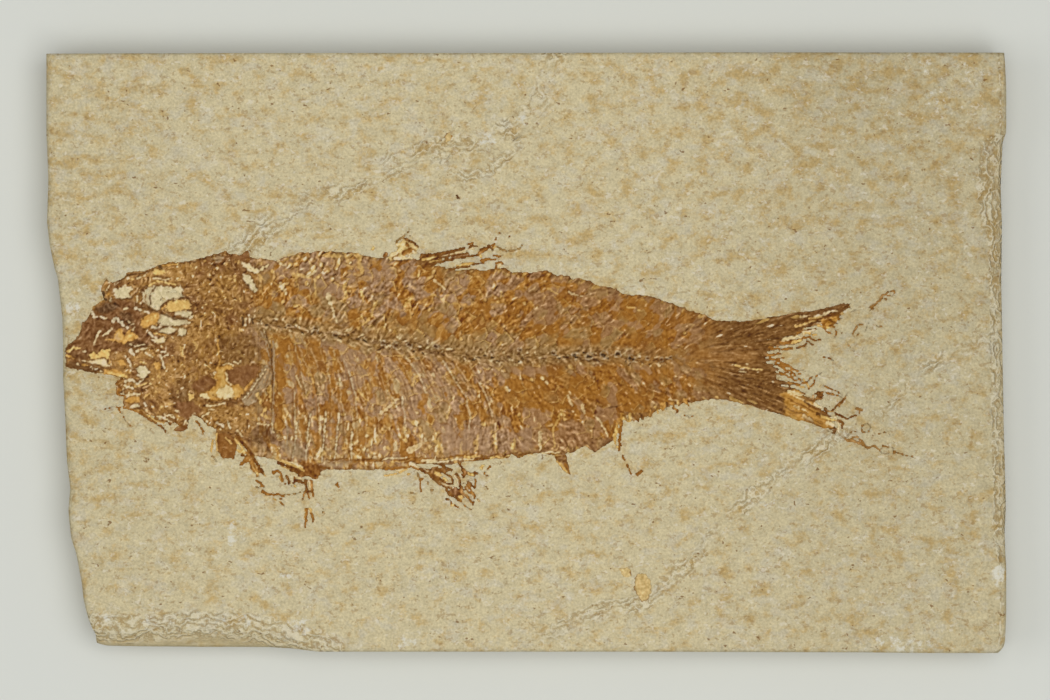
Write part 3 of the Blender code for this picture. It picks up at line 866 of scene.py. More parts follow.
    def _mark(self, slab: bpy.types.Object) -> None:
        """Stores what the finish reads: stain, shade, bruises, folds and broken sides.

        Args:
            slab: the slab's mesh.
        """
        spots = places(slab.data)
        x, y, z = spots.T
        stain = 0.9 * smoothstep(-10.0, 45.0, y) * smoothstep(-20.0, 60.0, x)
        stain += 0.6 * smoothstep(-50.0, -68.0, x) - 0.5 * smoothstep(-5.0, -40.0, y) * smoothstep(60.0, -10.0, x)
        shade = 1.0 - (0.09 + 0.05 * smoothstep(-40.0, 30.0, y)) * smoothstep(10.0, 62.0, x)
        shade -= 0.04 * smoothstep(-40.0, -66.0, x)
        shade -= 0.06 * np.exp(-(((x - 46.0) / 9.0) ** 2) - (((y - 42.0) / 8.0) ** 2))
        bruise = np.zeros(len(spots))
        blurred = 0.5 * SmoothNoise(1.1, 25, octaves=2).signed(x, y)
        for cx, cy, rx, ry, strength in self.bruises:
            away = np.hypot((x - cx) / (rx + 0.5), (y - cy) / (ry + 0.5))
            bruise = np.maximum(bruise, strength * smoothstep(1.4, 0.2, away + blurred))
        fold, across = np.zeros(len(spots)), np.zeros(len(spots))
        broken = SmoothNoise(4.5, 26, octaves=2).at(x, y)
        folds = [(seam, reach, y - follow(seam, x), 0.75 + 0.5 * (broken - 0.5)) for seam, reach in self.seams]
        right = follow(self.right_edge, y)
        wide = 1.3 + 2.0 * smoothstep(33.5, 31.0, y) * smoothstep(14.0, 22.0, y)
        wide = wide * (0.25 + 0.75 * smoothstep(-33.0, -27.0, y) * smoothstep(34.0, 31.0, y))
        folds.append((tuple((p[1] - 0.9, p[0]) for p in self.right_edge), wide, right - x, 0.95))
        folds.append((self.spall_inner, 2.8, y - follow(self.spall_inner, x), 0.95))
        for line, reach, offset, strength in folds:
            away, _ = distance_to_path(x, y, line)
            here = strength * smoothstep(reach * 1.3, reach * 0.5, away)
            across = np.where(here > fold, np.copysign(away, offset), across)
            fold = np.maximum(fold, here)
        for name, values in (
            ("stain", stain), ("shade", shade), ("bruise", bruise), ("fold", fold), ("across", across * MM),
            ("side", smoothstep(0.6, 1.6, ROCK.height(x, y) - z)),
        ):
            store(slab.data, name, values)

    def dress(self, slab: bpy.types.Object, finish: LimestoneFinish) -> bpy.types.Object:
        """Puts the finish on, and says what the piece stands for.

        Args:
            slab: the slab's mesh.
            finish: its finish.

        Returns:
            The slab.
        """
        slab.data.materials.append(finish.build())
        slab.data.shade_smooth()
        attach(slab, ROOT)
        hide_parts("limestone_slab")
        return slab


# ---- The fossil film ----


@dataclass
class FossilSheet:
    """A raster over part of the face: at each place, how far the fossil stands proud, and its colour."""

    low: Point
    high: Point
    cell: float = 0.125

    def __post_init__(self) -> None:
        """Lays out the raster, bare rock all over."""
        self.columns = round((self.high[0] - self.low[0]) / self.cell)
        self.rows = round((self.high[1] - self.low[1]) / self.cell)
        xs = self.low[0] + np.arange(self.columns + 1) * self.cell
        ys = self.low[1] + np.arange(self.rows + 1) * self.cell
        self.x, self.y = np.meshgrid(xs, ys)
        self.rise = np.full(self.x.shape, BARE)
        self.tint = np.ones((*self.x.shape, 3)) * Tone.BROWN.light
        self.angle = np.zeros(self.x.shape)
        self.texture = np.ones(self.x.shape)
        self.grit = self.crumbs(5, 0.30)
        self.stray_x = SmoothNoise(1.15, 6, octaves=2).signed(self.x, self.y)
        self.stray_y = SmoothNoise(1.15, 7, octaves=2).signed(self.x, self.y)

    def noise(self, pitch: float, seed: int, octaves: int = 1) -> Array:
        """Smooth noise from 0 to 1 over the raster."""
        return SmoothNoise(pitch, seed, octaves).at(self.x, self.y)

    def wash(self, tone: Tone | Array, share: Array) -> None:
        """Turns the colours towards one tone or colour, by `share` at each place."""
        self.tint = mix(self.tint, tone.light if isinstance(tone, Tone) else tone, share)

    def window(self, line: Path, margin: float) -> tuple[slice, slice]:
        """Finds the part of the raster round a path.

        Args:
            line: the path's points.
            margin: how far round it, in millimetres.

        Returns:
            The rows and the columns.
        """
        xs, ys = [p[0] for p in line], [p[1] for p in line]
        left = max(0, int((min(xs) - margin - self.low[0]) / self.cell))
        right = min(self.columns + 1, int((max(xs) + margin - self.low[0]) / self.cell) + 2)
        low = max(0, int((min(ys) - margin - self.low[1]) / self.cell))
        high = min(self.rows + 1, int((max(ys) + margin - self.low[1]) / self.cell) + 2)
        return slice(low, high), slice(left, right)

    def crumbs(self, seed: int, width: float) -> Array:
        """Round grains, with mean 0 and deviation 1.

        Args:
            seed: which noise.
            width: how wide a grain is, in millimetres.

        Returns:
            The grains' brightness at each place.
        """
        spread = 0.42 * width / self.cell
        noise = soften(np.random.default_rng(seed).standard_normal(self.x.shape), spread)
        noise -= soften(noise, spread * 2.4)
        return noise / noise.std()

    def streaks(self, seed: int, width: float, length: float, hollow: float = 2.4) -> Array:
        """Grains drawn out along the fibre direction, with mean 0 and deviation 1.

        Args:
            seed: which noise.
            width: how wide a strand is, in millimetres.
            length: how long it is, in millimetres.
            hollow: how wide the contrasting surround is, in strand widths.

        Returns:
            The strands' brightness at each place.
        """
        spread = 0.42 * width / self.cell
        noise = soften(np.random.default_rng(seed).standard_normal(self.x.shape), spread)
        total = noise.copy()
        rows, columns = noise.shape
        grid_row, grid_column = np.mgrid[0:rows, 0:columns].astype(float)
        for sign in (1.0, -1.0):
            row, column = grid_row.copy(), grid_column.copy()
            run_x, run_y = sign * np.cos(self.angle), sign * np.sin(self.angle)
            for _ in range(max(1, round(0.5 * length / self.cell))):
                column += run_x
                row += run_y
                r = np.clip(np.rint(row).astype(int), 0, rows - 1)
                c = np.clip(np.rint(column).astype(int), 0, columns - 1)
                total += noise[r, c]
                here = self.angle[r, c]
                next_x, next_y = np.cos(here), np.sin(here)
                same = np.where(run_x * next_x + run_y * next_y < 0.0, -1.0, 1.0)
                run_x, run_y = next_x * same, next_y * same
        total -= soften(total, spread * hollow)
        return total / total.std()

    def lay(self, outline: Path, tone: Tone, rise: float | None = None, rough: float = 0.22,
            strength: float = 1.0, soft: float = 0.12, texture: float | None = None,
            crack_shade: float = 0.0, core: Tone | None = None) -> None:
        """Lays a patch of one tone inside an outline.

        Args:
            outline: the patch's closed outline.
            tone: its colour.
            rise: how far it stands proud of the rock, or None to leave the height.
            rough: how far its edge wanders.
            strength: how much of what lies under it is covered.
            soft: half the width of its edge.
            texture: how strongly grain shows on it, or None to leave that.
            crack_shade: how dark the painted shade in the gap round it is.
            core: the tone it turns towards in the middle, or None to keep one tone.
        """
        part = self.window(outline, 1.4)
        x = self.x[part] + rough * self.stray_x[part]
        y = self.y[part] + rough * self.stray_y[part]
        depth = depth_inside(x, y, outline) + 0.07 * self.grit[part]
        cover = smoothstep(-soft, soft, depth) * strength
        self.tint[part] = mix(self.tint[part], tone.light, cover)
        if core is not None:
            inner = smoothstep(0.15, 0.75, depth + 0.25 * self.stray_x[part]) * strength * 0.8
            self.tint[part] = mix(self.tint[part], core.light, inner)
        # Painted shade: a thin darker line in the gap round the patch.
        if crack_shade:
            line = np.exp(-(((depth + 0.10) / 0.15) ** 2)) * crack_shade
            self.tint[part] = mix(self.tint[part], Tone.CRACK_SHADE.light, line)
        if texture is not None:
            self.texture[part] = mix(self.texture[part], texture, smoothstep(-soft, soft, depth))
        if rise is not None:
            self.rise[part] = mix(self.rise[part], rise, smoothstep(-0.14, 0.14, depth))

    def draw(self, line: Path, width: float, tone: Tone, lift: float = 0.0, taper: float = 0.6,
             strength: float = 1.0, wander: float = 0.16, crack_shade: float = 0.0,
             top: float | None = None) -> None:
        """Draws a line of one tone.

        Args:
            line: the line's points.
            width: its width at the start.
            tone: its colour.
            lift: how far it stands above what lies under it.
            taper: how much of its width it loses by the end.
            strength: how much of what lies under it is covered.
            wander: how far it strays from the path.
            crack_shade: how dark the painted shade in the gap beside it is.
            top: how far it stands proud where there is only rock, or None to leave the rock bare.
        """
        part = self.window(line, width + 0.9)
        x = self.x[part] + wander * self.stray_x[part]
        y = self.y[part] + wander * self.stray_y[part]
        away, share = distance_to_path(x, y, line)
        away = away - 0.05 * self.grit[part]
        half = 0.5 * width * (1.0 - taper * share)
        reach = 0.0 if top is None else 0.08
        cover = smoothstep(half + reach + 0.09, half + reach - 0.09, away) * strength
        cover = cover * (0.84 + 0.16 * smoothstep(-1.3, 0.3, self.grit[part]))
        # Painted shade: a darker halo in the gap beside the line.
        if crack_shade:
            halo = smoothstep(half + 0.36, half + 0.12, away) * crack_shade
            self.tint[part] = mix(self.tint[part], Tone.CRACK_SHADE.light, halo)
        self.tint[part] = mix(self.tint[part], tone.light, cover)
        if lift:
            self.rise[part] += lift * smoothstep(half + 0.15, 0.0, away)
        if top is not None:
            core = smoothstep(half + 0.20, half - 0.02, away)
            self.rise[part] = np.maximum(self.rise[part], mix(BARE, top, core))

    def roughen(self, amount: float) -> None:
        """Speckles the colours with grains of two sizes.

        Args:
            amount: how strong the speckle is, as a share of full white.
        """
        grain = 0.6 * self.grit + 0.6 * self.crumbs(9, 0.22) + 0.5 * self.crumbs(10, 0.6)
        self.tint = to_light(np.clip(to_display(self.tint) + amount * grain[..., None], 0.1, 0.88))

    def scatter(self, values: Array, start: Array | float, tone: Tone, strength: float,
                blur: float) -> None:
        """Covers with one tone the places where `values` is above `start`.

        Args:
            values: a noise field.
            start: where the tone begins to show.
            tone: its colour.
            strength: how much of what lies under it is covered.
            blur: how far above `start` it covers in full.
        """
        self.wash(tone, smoothstep(start, start + blur, values) * strength)

    def cut(self, name: str, first: float, last: float) -> bpy.types.Object:
        """The closed mesh of the film between two x places.

        Args:
            name: the piece's name.
            first: where it starts along the slab.
            last: where it ends.

        Returns:
            The piece, with its colours in the attribute `tint`.
        """
        start = max(0, round((first - self.low[0]) / self.cell))
        stop = min(self.columns, round((last - self.low[0]) / self.cell))
        part = (slice(None), slice(start, stop + 1))
        x, y, rise, tint = self.x[part], self.y[part], self.rise[part], self.tint[part]
        piece = grid_object(
            name, (x[0, 0], y[0, 0]), (x[0, -1], y[-1, 0]), x.shape[1] - 1, x.shape[0] - 1
        )
        spots = places(piece.data)
        column = np.rint((spots[:, 0] - x[0, 0]) / self.cell).astype(int)
        row = np.rint((spots[:, 1] - y[0, 0]) / self.cell).astype(int)
        spots[:, 2] = ROCK.height(x, y)[row, column] + rise[row, column]
        put_places(piece.data, spots)
        store(piece.data, "tint", np.clip(tint[row, column], 0.0, 1.0))
        edit(piece, rise[row, column] < CUT_BELOW)
        bpy.ops.mesh.delete(type="VERT")
        bpy.ops.mesh.select_all(action="SELECT")
        bpy.ops.mesh.delete_loose()
        leave_edit()
        skirt(piece, FILM_FLOOR)
        piece.data.shade_smooth()
        return piece


def soften(values: Array, spread: float) -> Array:
    """Blurs a raster by a Gaussian.

    Args:
        values: the raster.
        spread: how wide the Gaussian is, in cells.

    Returns:
        The blurred raster.
    """
    reach = max(1, int(math.ceil(2.5 * spread)))
    weights = np.exp(-0.5 * (np.arange(-reach, reach + 1) / spread) ** 2)
    weights /= weights.sum()
    for axis in (0, 1):
        padded = np.pad(values, [(reach, reach) if a == axis else (0, 0) for a in (0, 1)], mode="edge")
        length = values.shape[axis]
        values = sum(w * np.take(padded, range(k, k + length), axis=axis) for k, w in enumerate(weights))
    return values


@dataclass(frozen=True)
class ScaleLattice:
    """Overlapping scales in staggered rows, each a little out of place."""

    pitch: Point = (2.3, 1.55)
    jitter: float = 0.55
    seed: int = 41

    def at(self, x: Array, y: Array) -> tuple[Array, Array, Array]:
        """Finds the scale at each place.

        Args:
            x: the places along the rows.
            y: the places across the rows.

        Returns:
            How much nearer its middle is than the next scale's, its four random numbers, and the place
            along it.
        """
        table = np.random.default_rng(self.seed).random((4, 128, 128))
        row = np.floor(y / self.pitch[1]).astype(int)
        first = np.full(x.shape, np.inf)
        second = np.full(x.shape, np.inf)
        own = np.zeros((4, *x.shape))
        across = np.zeros(x.shape)
        for drow in (-1, 0, 1):
            j = row + drow
            shift = 0.5 * (j % 2)
            column = np.floor(x / self.pitch[0] - shift).astype(int)
            for dcolumn in (-1, 0, 1):
                i = column + dcolumn
                draw = table[:, j % 128, i % 128]
                cx = (i + 0.5 + shift + self.jitter * (draw[0] - 0.5)) * self.pitch[0]
                cy = (j + 0.5 + self.jitter * (draw[1] - 0.5)) * self.pitch[1]
                away = np.hypot((x - cx) / self.pitch[0], (y - cy) / self.pitch[1])
                nearer = away < first
                second = np.where(nearer, first, np.minimum(second, away))
                own = np.where(nearer, draw, own)
                across = np.where(nearer, (x - cx) / self.pitch[0], across)
                first = np.where(nearer, away, first)
        return second - first, own, across


# Scraps of film on bare rock: the plates that hold fins together, and then single rays, by tone.
FIN_PLATES = """
RUST 0.17 -9.8,-16.9 -9.25,-17.35 -8.7,-17.7 -7.9,-17.8 -7.05,-17.7 -7.1,-18.1 -7.5,-18.5 -7.6,-18.9 -8,-18.6
 -8.6,-18.4 -9.15,-18.8 -9.5,-19 -9.7,-18.5 -9.6,-18.1 -9.9,-17.6
PLUM 0.17 -11,-20 -10,-20.1 -9.2,-20.1 -9,-20.6 -9.4,-21.2 -8.9,-21.7 -9.5,-22 -10.1,-22.1 -10.6,-21.8 -11,-21.55
 -11.7,-21.15 -12,-20.7 -11.4,-20.6
BROWN 0.17 -15.6,-17.3 -13.4,-17.2 -12,-17.2 -11.2,-17.7 -11.8,-18.2 -12.4,-18 -12.9,-18.5 -12.2,-19.1 -11.2,-19.8
 -12.4,-19.5 -13.8,-18.7 -14.8,-18
0.17 -16.4,13.4 -15.8,14.5 -15,14.8 -13.5,14.85 -11.65,15.2 -10.35,15.4 -11.65,14.6 -12.95,14.25 -12.2,13.9 -13.5,13.6
 -14.3,13.1 -15.8,12.9
RUST 0.17 -34.15,-16.25 -32.4,-16.55 -31.1,-16.85 -30.7,-17.85 -31.1,-18.85 -31.85,-19 -32.4,-18.55 -33.15,-18.55
 -33.7,-18.85 -34.45,-18.5 -34,-18 -33.7,-17.4
AMBER 0.17 -19.5,16.3 -18.2,17.1 -17,16.6 -16.1,15.8 -16.3,15 -17.2,14.6 -18.6,14.6 -19.3,15.3
0.17 -20.8,14.1 -20.1,15.2 -19,15.3 -18.4,14.7 -17.4,14.4 -18.4,14 -19.8,13.9
RUST 0.17 -21.6,14.4 -21.3,15.1 -20.8,15 -20.7,14.3
GOLD 0.17 -23.4,15.4 -23.1,15.9 -22.6,15.7 -22.7,15.2
OCHRE 0.17 44.3,4.9 46.7,5.6 46.9,4.9 46.2,3.9 45.2,3.5 44.5,4.1
BROWN 0.17 43.4,-6.2 44.2,-5.7 44.8,-6.3 44.5,-7.2 43.6,-7.1
TAN 0.17 42.9,-6.5 43.3,-6.1 43.5,-7 43.1,-7.4
"""
FIN_RAYS = """
MAUVE 0.3 -11.25,14.25 -9.85,14.5 -8.55,14.7
0.3 -6.6,15 -5.9,15.3
RAY 0.34 14.4,-10.2 14.1,-12.4 14.05,-14.7
0.55 16.8,-18.25 17.35,-17.8
0.7 -18.2,15 -17.4,15.4 -16.8,15.1
0.3 -18,16.4 -17.6,15.9
0.3 -19.9,14.2 -19.1,14.8
0.28 44.6,4.4 45.4,5
0.3 38.4,1.5 40,1.6 41.6,2.2 42.6,2.4
0.26 36.6,0.6 38.5,0.5 40,0.5
0.24 40.8,2.9 42.6,3.3 43.6,3.4
0.26 36.6,-0.9 38.4,-1.5 39.8,-2.2
0.26 37.4,-1.6 39,-2.6 40.4,-3.2
0.26 38.2,-3 39.4,-3.6 40.6,-4.2
OLIVE 0.24 -4.3,15.9 -3.5,15.4 -2.5,15.2 -1.6,15.25 -0.9,15.6 -0.5,16.3
0.26 -19.4,16.6 -18.5,17.3 -17.6,18.1
0.2 -16.3,-18 -16,-19.05
0.26 -14.8,-19.35 -14.7,-19.65
0.3 -17.25,-21 -16.7,-21.15
0.2 -14.3,-20.6 -13.9,-20.6
0.2 -9.05,-23.15 -8.25,-23.6
0.22 -7.25,-22 -6.95,-22.4
0.22 -6.2,-20 -5.8,-20.35
0.2 -36.2,-21.35 -34.7,-21.15 -33.7,-20.95
0.2 -47.1,-15.55 -46.35,-16.4
0.24 -49.2,-10.5 -48.2,-12.55
0.2 -40.4,-20.2 -39.8,-20.2
0.24 -30.5,-24 -30.3,-24.1
CREAM 0.24 -12.4,14.3 -11.1,14.8 -9.85,15.1 -8.7,15.4 -7.8,15.6
0.5 -4.05,13.05 -3.9,13.1
0.3 -19.6,14.1 -17.2,14.2
0.28 -13,-19.45 -12.4,-19.75 -11.7,-20.1 -11,-20.2
0.26 -10.7,-18.5 -10.2,-19.1 -10.1,-19.8
0.22 -9.05,-20.2 -8.1,-21.45
0.22 -9.7,-20.7 -8.8,-21.55
0.4 -17.3,-16.75 -16.2,-17.2
0.26 -15.45,-17.5 -14.8,-17.9
0.3 -19.4,-17.75 -18.4,-17.5
0.2 -41.6,-15.25 -40.75,-16.55 -40.2,-17.55
0.28 -41.6,-15.85 -40.75,-17.4 -40.35,-18.55
0.22 -37.2,-16.4 -35.2,-16.55 -33.7,-17.2
0.3 -34.4,-18.7 -33.8,-18.9
0.26 -32.5,-19.4 -32.45,-20.7
0.34 -32.6,-21.2 -32.4,-21.5
0.22 -35.4,-19.3 -35.2,-19.6
0.28 -55.2,-9.7 -52.8,-10.3
0.22 -60,-5 -59,-5.4
0.28 15.2,-9.6 16.2,-9.9
0.34 46.4,-9.6 47,-10.8 46.9,-11.8
0.4 45.2,-10.6 46.2,-10.9
0.3 43.4,-7.6 44.4,-8.2
0.4 -16.8,15 -16.4,14.9
0.36 -20.3,14.6 -19.4,14.9
0.3 38.6,1.9 39.8,2.1 41.2,2.4
0.34 41.6,2.9 43.2,3.3
0.3 39.4,-5.8 41.2,-6.4
GOLD 0.3 -43.5,-13 -41.7,-15.6 -40.1,-18.6
0.28 -36.9,-16.2 -35.2,-16.9 -33.4,-17.7
0.25 -9.7,13.25 -8.6,13.4 -7.6,13.4
0.25 -10.35,12.95 -9.3,13.1 -8,13.3
0.32 -6.9,14.5 -6.7,14.2
0.24 -4.95,15.6 -4.6,16
0.3 -15.4,14 -13.6,14.4
0.24 -14.2,13.5 -12.6,13.9
0.4 -11.05,-22.9 -10.8,-23
0.36 -9.9,-21.6 -9.6,-21.8
0.4 -8.4,-18.1 -8,-18.3
0.26 -17.8,-18.4 -17.15,-18
0.26 -21.1,-18.5 -19,-18 -17.9,-17.6
0.26 -13.6,-17.9 -12.85,-18.4 -12.3,-18.9 -11.7,-19.35
0.4 -6.7,-17.4 -6.4,-16.9
0.3 -39.75,-17.7 -39.1,-18.55
0.24 -40.9,-16.3 -40.4,-17.3
0.5 -43.1,-14.8 -42.2,-15.2
0.22 -37.9,-22 -36.9,-22.45 -36.3,-23.15
0.26 -37,-18.6 -36.6,-19.5
0.24 -36.7,-17 -35.2,-17.6 -34,-18.1
0.3 -34.8,-20 -34.5,-20.1
0.24 -32.35,-23.4 -31.95,-24.6
0.2 -33.1,-23.4 -33.2,-25
0.34 -47,-13.2 -47.2,-14.8
0.26 -57,-9.4 -54.4,-10.6
0.24 -60,-3.6 -62.6,-3
0.32 14.6,-9.9 15.6,-10.3
0.26 13.7,-11.2 13.4,-13
0.25 13.6,-10.8 13.3,-12.8 13.6,-14.2
0.2 4.6,-16.4 6,-17.8
0.3 43.8,4 45.4,3.6
0.26 42,3 43.6,2.6
0.26 41.6,-4 42.4,-5.2
0.3 40.6,-5 41.8,-5.2
0.3 44.4,-9.6 46.4,-10.2
0.3 40,1.4 41.2,1.8
0.2 50.8,3.2 51.4,4.4
RAY 0.42 -7,14.95 -6.6,15.2 -6.1,15.3 -5.7,15.7
0.36 -6.8,13.8 -6.2,13.95 -5.5,14.05
0.25 -6.6,13.4 -6,13.7 -5.5,13.9
0.3 -5.05,16 -4.8,16.35
0.28 -4.9,14.55 -4.4,14.5 -4.15,14.25 -3.5,14.7
0.22 -5.3,13.85 -4.4,13.9
0.22 -4.55,12.7 -4.5,13.35 -3.75,13.5 -3.1,13.1
0.28 -8.8,16.2 -8,16.5
0.22 -4.6,16.9 -4.5,17.2
0.24 -3.95,17.9 -3.85,17.8
0.2 -2.55,17.35 -2.4,17.35
0.3 -10,-20.2 -9.5,-21.1 -8.7,-21.7 -8.2,-22.3 -8,-22.8
0.28 -8.8,-19.8 -8.4,-20.4 -8,-21 -7.6,-21.7 -7.8,-22.3 -8,-22.8
0.26 -9.25,-20.2 -8.7,-20.8 -8.1,-21.25
0.24 -7.6,-18.9 -7.5,-19.5 -7.7,-20.2
0.22 -10.1,-22.1 -9.6,-22.5 -9.15,-23
0.26 -11.4,-22.2 -11.2,-22.65
0.26 -10.6,-23 -9.9,-23.5
0.24 -15.25,-18.7 -16,-19.25 -15.9,-20.2 -15.7,-20.8
0.24 -5.45,-17.05 -6.2,-18 -6.3,-18.3 -5.7,-18.6
0.24 -17.35,-17.15 -16.1,-17.55
0.3 -21.1,-17.5 -18,-17.25
0.3 -41.9,-15.1 -41.05,-16.3 -40.5,-17.4 -39.9,-18
0.2 -41.75,-16 -41.05,-17.4 -40.35,-18.6
0.5 -41.75,-15.85 -42.75,-16.85
0.38 -40.35,-19.3 -39.6,-19.85 -39.4,-20.2
0.44 -39.45,-20.8 -38.9,-21.2 -38.3,-21.4
0.3 -38.3,-21.35 -37.2,-21.3 -36.2,-21.65
0.46 -37.9,-18 -37.4,-17.75
0.34 -37.3,-17.7 -36.75,-18.3 -36.45,-19.3 -36.15,-19.7
0.28 -32.85,-20.8 -32.55,-22
0.28 -32.2,-19.15 -32.05,-20.3 -31.9,-21.6
0.22 -33.15,-20.85 -33.6,-22.3
0.3 -32.85,-23.45 -32.95,-24.9 -33.15,-26.2
0.32 -32.1,-24.2 -31.9,-24.9 -32,-25.4
0.3 -34.7,-18.8 -34.9,-19.5
0.42 -28.4,-19.8 -28.1,-20.1
0.22 -36.9,-21.9 -36.6,-22
0.3 -36.7,-22.7 -36.5,-22.9
0.2 -63.2,-8.5 -62,-8.2 -60.5,-8.2 -57.5,-9.1
0.2 -61,-8.6 -60.2,-10 -59.4,-11
0.26 -49.5,-10.2 -48.3,-12
0.26 -60.9,-5.4 -61.5,-6.2 -60.2,-6.6
0.24 14.2,-10 14,-12 14.3,-14
0.24 14.5,-15.5 14.8,-16.3
0.24 15.2,-16.9 15.5,-17.6 15.8,-18.2
0.3 13.4,-10.4 12.6,-12.6
0.22 16.4,-9.8 16.9,-10.4
0.22 5.9,-16.8 6.7,-18.4
0.2 22.2,-8.4 22.9,-8.6 22.5,-9.2
0.18 23.8,-9.4 24.6,-9.8 25.2,-9.4
0.24 19,-8.9 18.8,-9.6
0.22 49.6,2.5 50.2,3.2
0.2 51.4,6.2 52.2,6.6 51.6,7 51.3,6.5
0.24 54.2,8.6 55,8.4 55.3,9
0.24 44.6,4.3 45,3.2 45.8,2.8
0.22 46,4 46.6,3 46.3,2.2
0.26 42.4,2.4 43.4,1.8 44.2,2
0.26 38.2,-0.2 37,-0.4 36.2,-0.5
0.22 38.6,-0.8 37.6,-1
0.22 38.2,-1.8 39.6,-2.4 40.6,-2.8 41.6,-2.6
0.2 38.2,-3.4 39.4,-3 40,-3.6 41.2,-3.2
0.24 39.4,-4.4 40.8,-4.9 42.2,-4.4 42.8,-3.6
0.2 40,-3 41,-3.9 41.6,-4.6
0.22 42.4,-5.4 43.2,-4.6 43.4,-3.6 44.4,-3
0.2 44.6,-5 45.6,-5.4 46.8,-5.8 47.4,-6.4
0.22 45,-6 46.6,-6.4 47.6,-7 47.2,-8
0.24 48.2,-6.2 47.4,-7.4 47,-8.2
0.2 48.2,-12.4 49,-11.8 49.6,-11.9
0.22 51.2,-10.6 50.4,-11 50.4,-11.9 51.3,-12 51.8,-11.2 51.2,-10.6
0.22 53,-14.8 53.6,-14 55,-14.3 55.3,-15.2 53.4,-15.2 53,-14.8
0.24 55.2,-14.8 56.6,-15.4 58,-15.7
0.16 53,-12.2 54.2,-11.8 54.6,-12.4
0.16 44.6,-0.6 45.6,-0.9 46.2,-1.2
0.16 48.2,1.6 48.6,0.8 49.2,0.2
0.16 52.6,4 53.6,3.8
EMBER 0.34 -43,-12.8 -41.2,-15.4 -39.5,-18.2
0.3 -37,-16.6 -35,-17.4 -33.2,-18.3
0.5 -15.6,14.5 -12.7,14.85 -10.4,15.35 -9.3,15.7
0.26 -13.5,14 -11.1,14.5 -8.7,14.95
0.36 -15.4,12.9 -12.2,13.8 -10.6,14.1 -8,14.5 -7.2,14.6
0.26 -11.6,12.5 -10.1,12.75 -8.4,12.9
0.26 -8,13.15 -6.7,13.4
0.34 -5.7,16 -5.3,15.65 -5,15.4
0.3 -6.8,15.4 -6.2,15.8
0.3 -8.5,15.85 -8,16.05 -7.4,16
0.36 -15.6,-17.7 -14.6,-18.2 -13.9,-18.9 -13.1,-19.55 -12.5,-20.1 -11.9,-20.2 -11.3,-20.4
0.3 -14.4,-18.1 -13.6,-18.8 -12.7,-19.25 -12,-19.55 -10.9,-19.8
0.38 -13.35,-17.55 -12.6,-17.8 -12,-18.3 -11.45,-18.6 -11.1,-18.9 -10.9,-19.5
0.36 -12.8,-16.9 -12.2,-17.15 -11.15,-17.6
0.34 -10.5,-18.2 -10,-18.8 -9.8,-19.6 -9.8,-20.2
0.36 -12,-20.7 -11.5,-21.25 -10.8,-21.7 -10.1,-22.1
0.32 -8.6,-19.45 -8.1,-20 -7.7,-20.4
0.4 -11.9,-22 -11.45,-22.2
0.3 -10,-16.7 -9.6,-17.2 -9.2,-17.5
0.4 -15.7,-17.4 -15.3,-18
0.42 -43.35,-12.7 -42.5,-13.55 -41.6,-14.7 -41.05,-15.4 -40.5,-16.3 -39.9,-17.3 -39.45,-17.85
0.26 -42.6,-15.35 -41.75,-15.55
0.3 -37.2,-16.55 -36,-17 -34.9,-17.35 -34,-17.7
0.26 -35.3,-17.65 -34.1,-18.1
0.34 -35.9,-18.55 -35.6,-19.3 -35.65,-19.85
0.34 -34.9,-19.45 -34.45,-19.15 -33.85,-19.3 -33.45,-19.6
0.4 -33.1,-19.2 -32.95,-20.3 -32.85,-20.85
0.26 -33.1,-20.9 -32.1,-20.85
0.36 -32.1,-17.9 -31.7,-18.4 -31.2,-18.3
0.3 -31.2,-17.1 -29.4,-17.4
0.34 -57.8,-9 -56.5,-10 -54.8,-11 -54.1,-11.9
0.3 -55.6,-9.8 -53.2,-10.8
0.34 -53.6,-9.8 -51,-11.2
0.28 -60.6,-4 -61.6,-4.7 -60.6,-5.4
0.3 49,2.9 49.8,4.1 50.5,4.3
0.42 51.8,6.8 52.4,7.2 52.8,7.6 53.5,8.2 54,8
0.3 53.2,8.4 54.2,9 55.2,9.3
0.3 40.6,0.6 41.8,1 42.2,1.8 43,1.2
0.36 43.6,-6.2 44.4,-6 44,-6.8 43.2,-7.2
0.3 42.6,-8 44,-8.6 45.2,-9.2
0.3 46,-8.6 46.8,-7.8 47.6,-7
0.36 46.5,-9.2 47.4,-9.6 48.2,-9.9 49.5,-9.3
0.34 49.6,-8.4 50.4,-8.6 50,-9
0.34 46.8,-10.2 47.6,-10.6 47.4,-11.4
0.34 48.2,-13.3 49,-12.8 49.6,-12.6 50.3,-13.2 51,-14.2 52.3,-14.2
0.42 48,-13 49.2,-13.3 50.2,-13.6 51.2,-14.4 52.4,-14 52.8,-14.5
0.32 -18.1,17 -17,16.6 -16.2,15.9
0.3 45,5.3 46.6,5.6 46.9,4.9
0.26 45.6,4.9 46.3,4.4 45.6,4
"""

# The head's bones, the streaks of the tail and single flakes on the trunk.
DARK_PLATES = """
PLUM - -44.8,-2.7 -43.9,-2.1 -42,-1.8 -39.7,-1.9 -40.4,-3.6 -41.5,-4.7 -42.4,-5.2 -42.9,-4.9 -44.3,-4.9 -44.7,-4
- -49.6,-4.2 -47.9,-3.6 -46.7,-3.9 -46.4,-4.9 -47.4,-5.7 -48.4,-6.2 -49.5,-5.9 -50.3,-5
- -52.4,-7.6 -50.2,-7.3 -48.4,-8.5 -49.4,-9.5 -51.2,-9.9 -52.6,-9
- -43.8,14.4 -42.2,14.7 -41.7,15.2 -41.5,14.2 -42.6,13.6
- -52.8,-11.7 -51.9,-11.3 -51.6,-10.5 -51,-10.3 -50.5,-11.1 -50.8,-11.8 -51.8,-12.1
RUST 0.16 -46.5,-11.8 -44.4,-12.4 -43.2,-13.6 -43.8,-15.9 -45.4,-15.9 -46.5,-14.4
"""
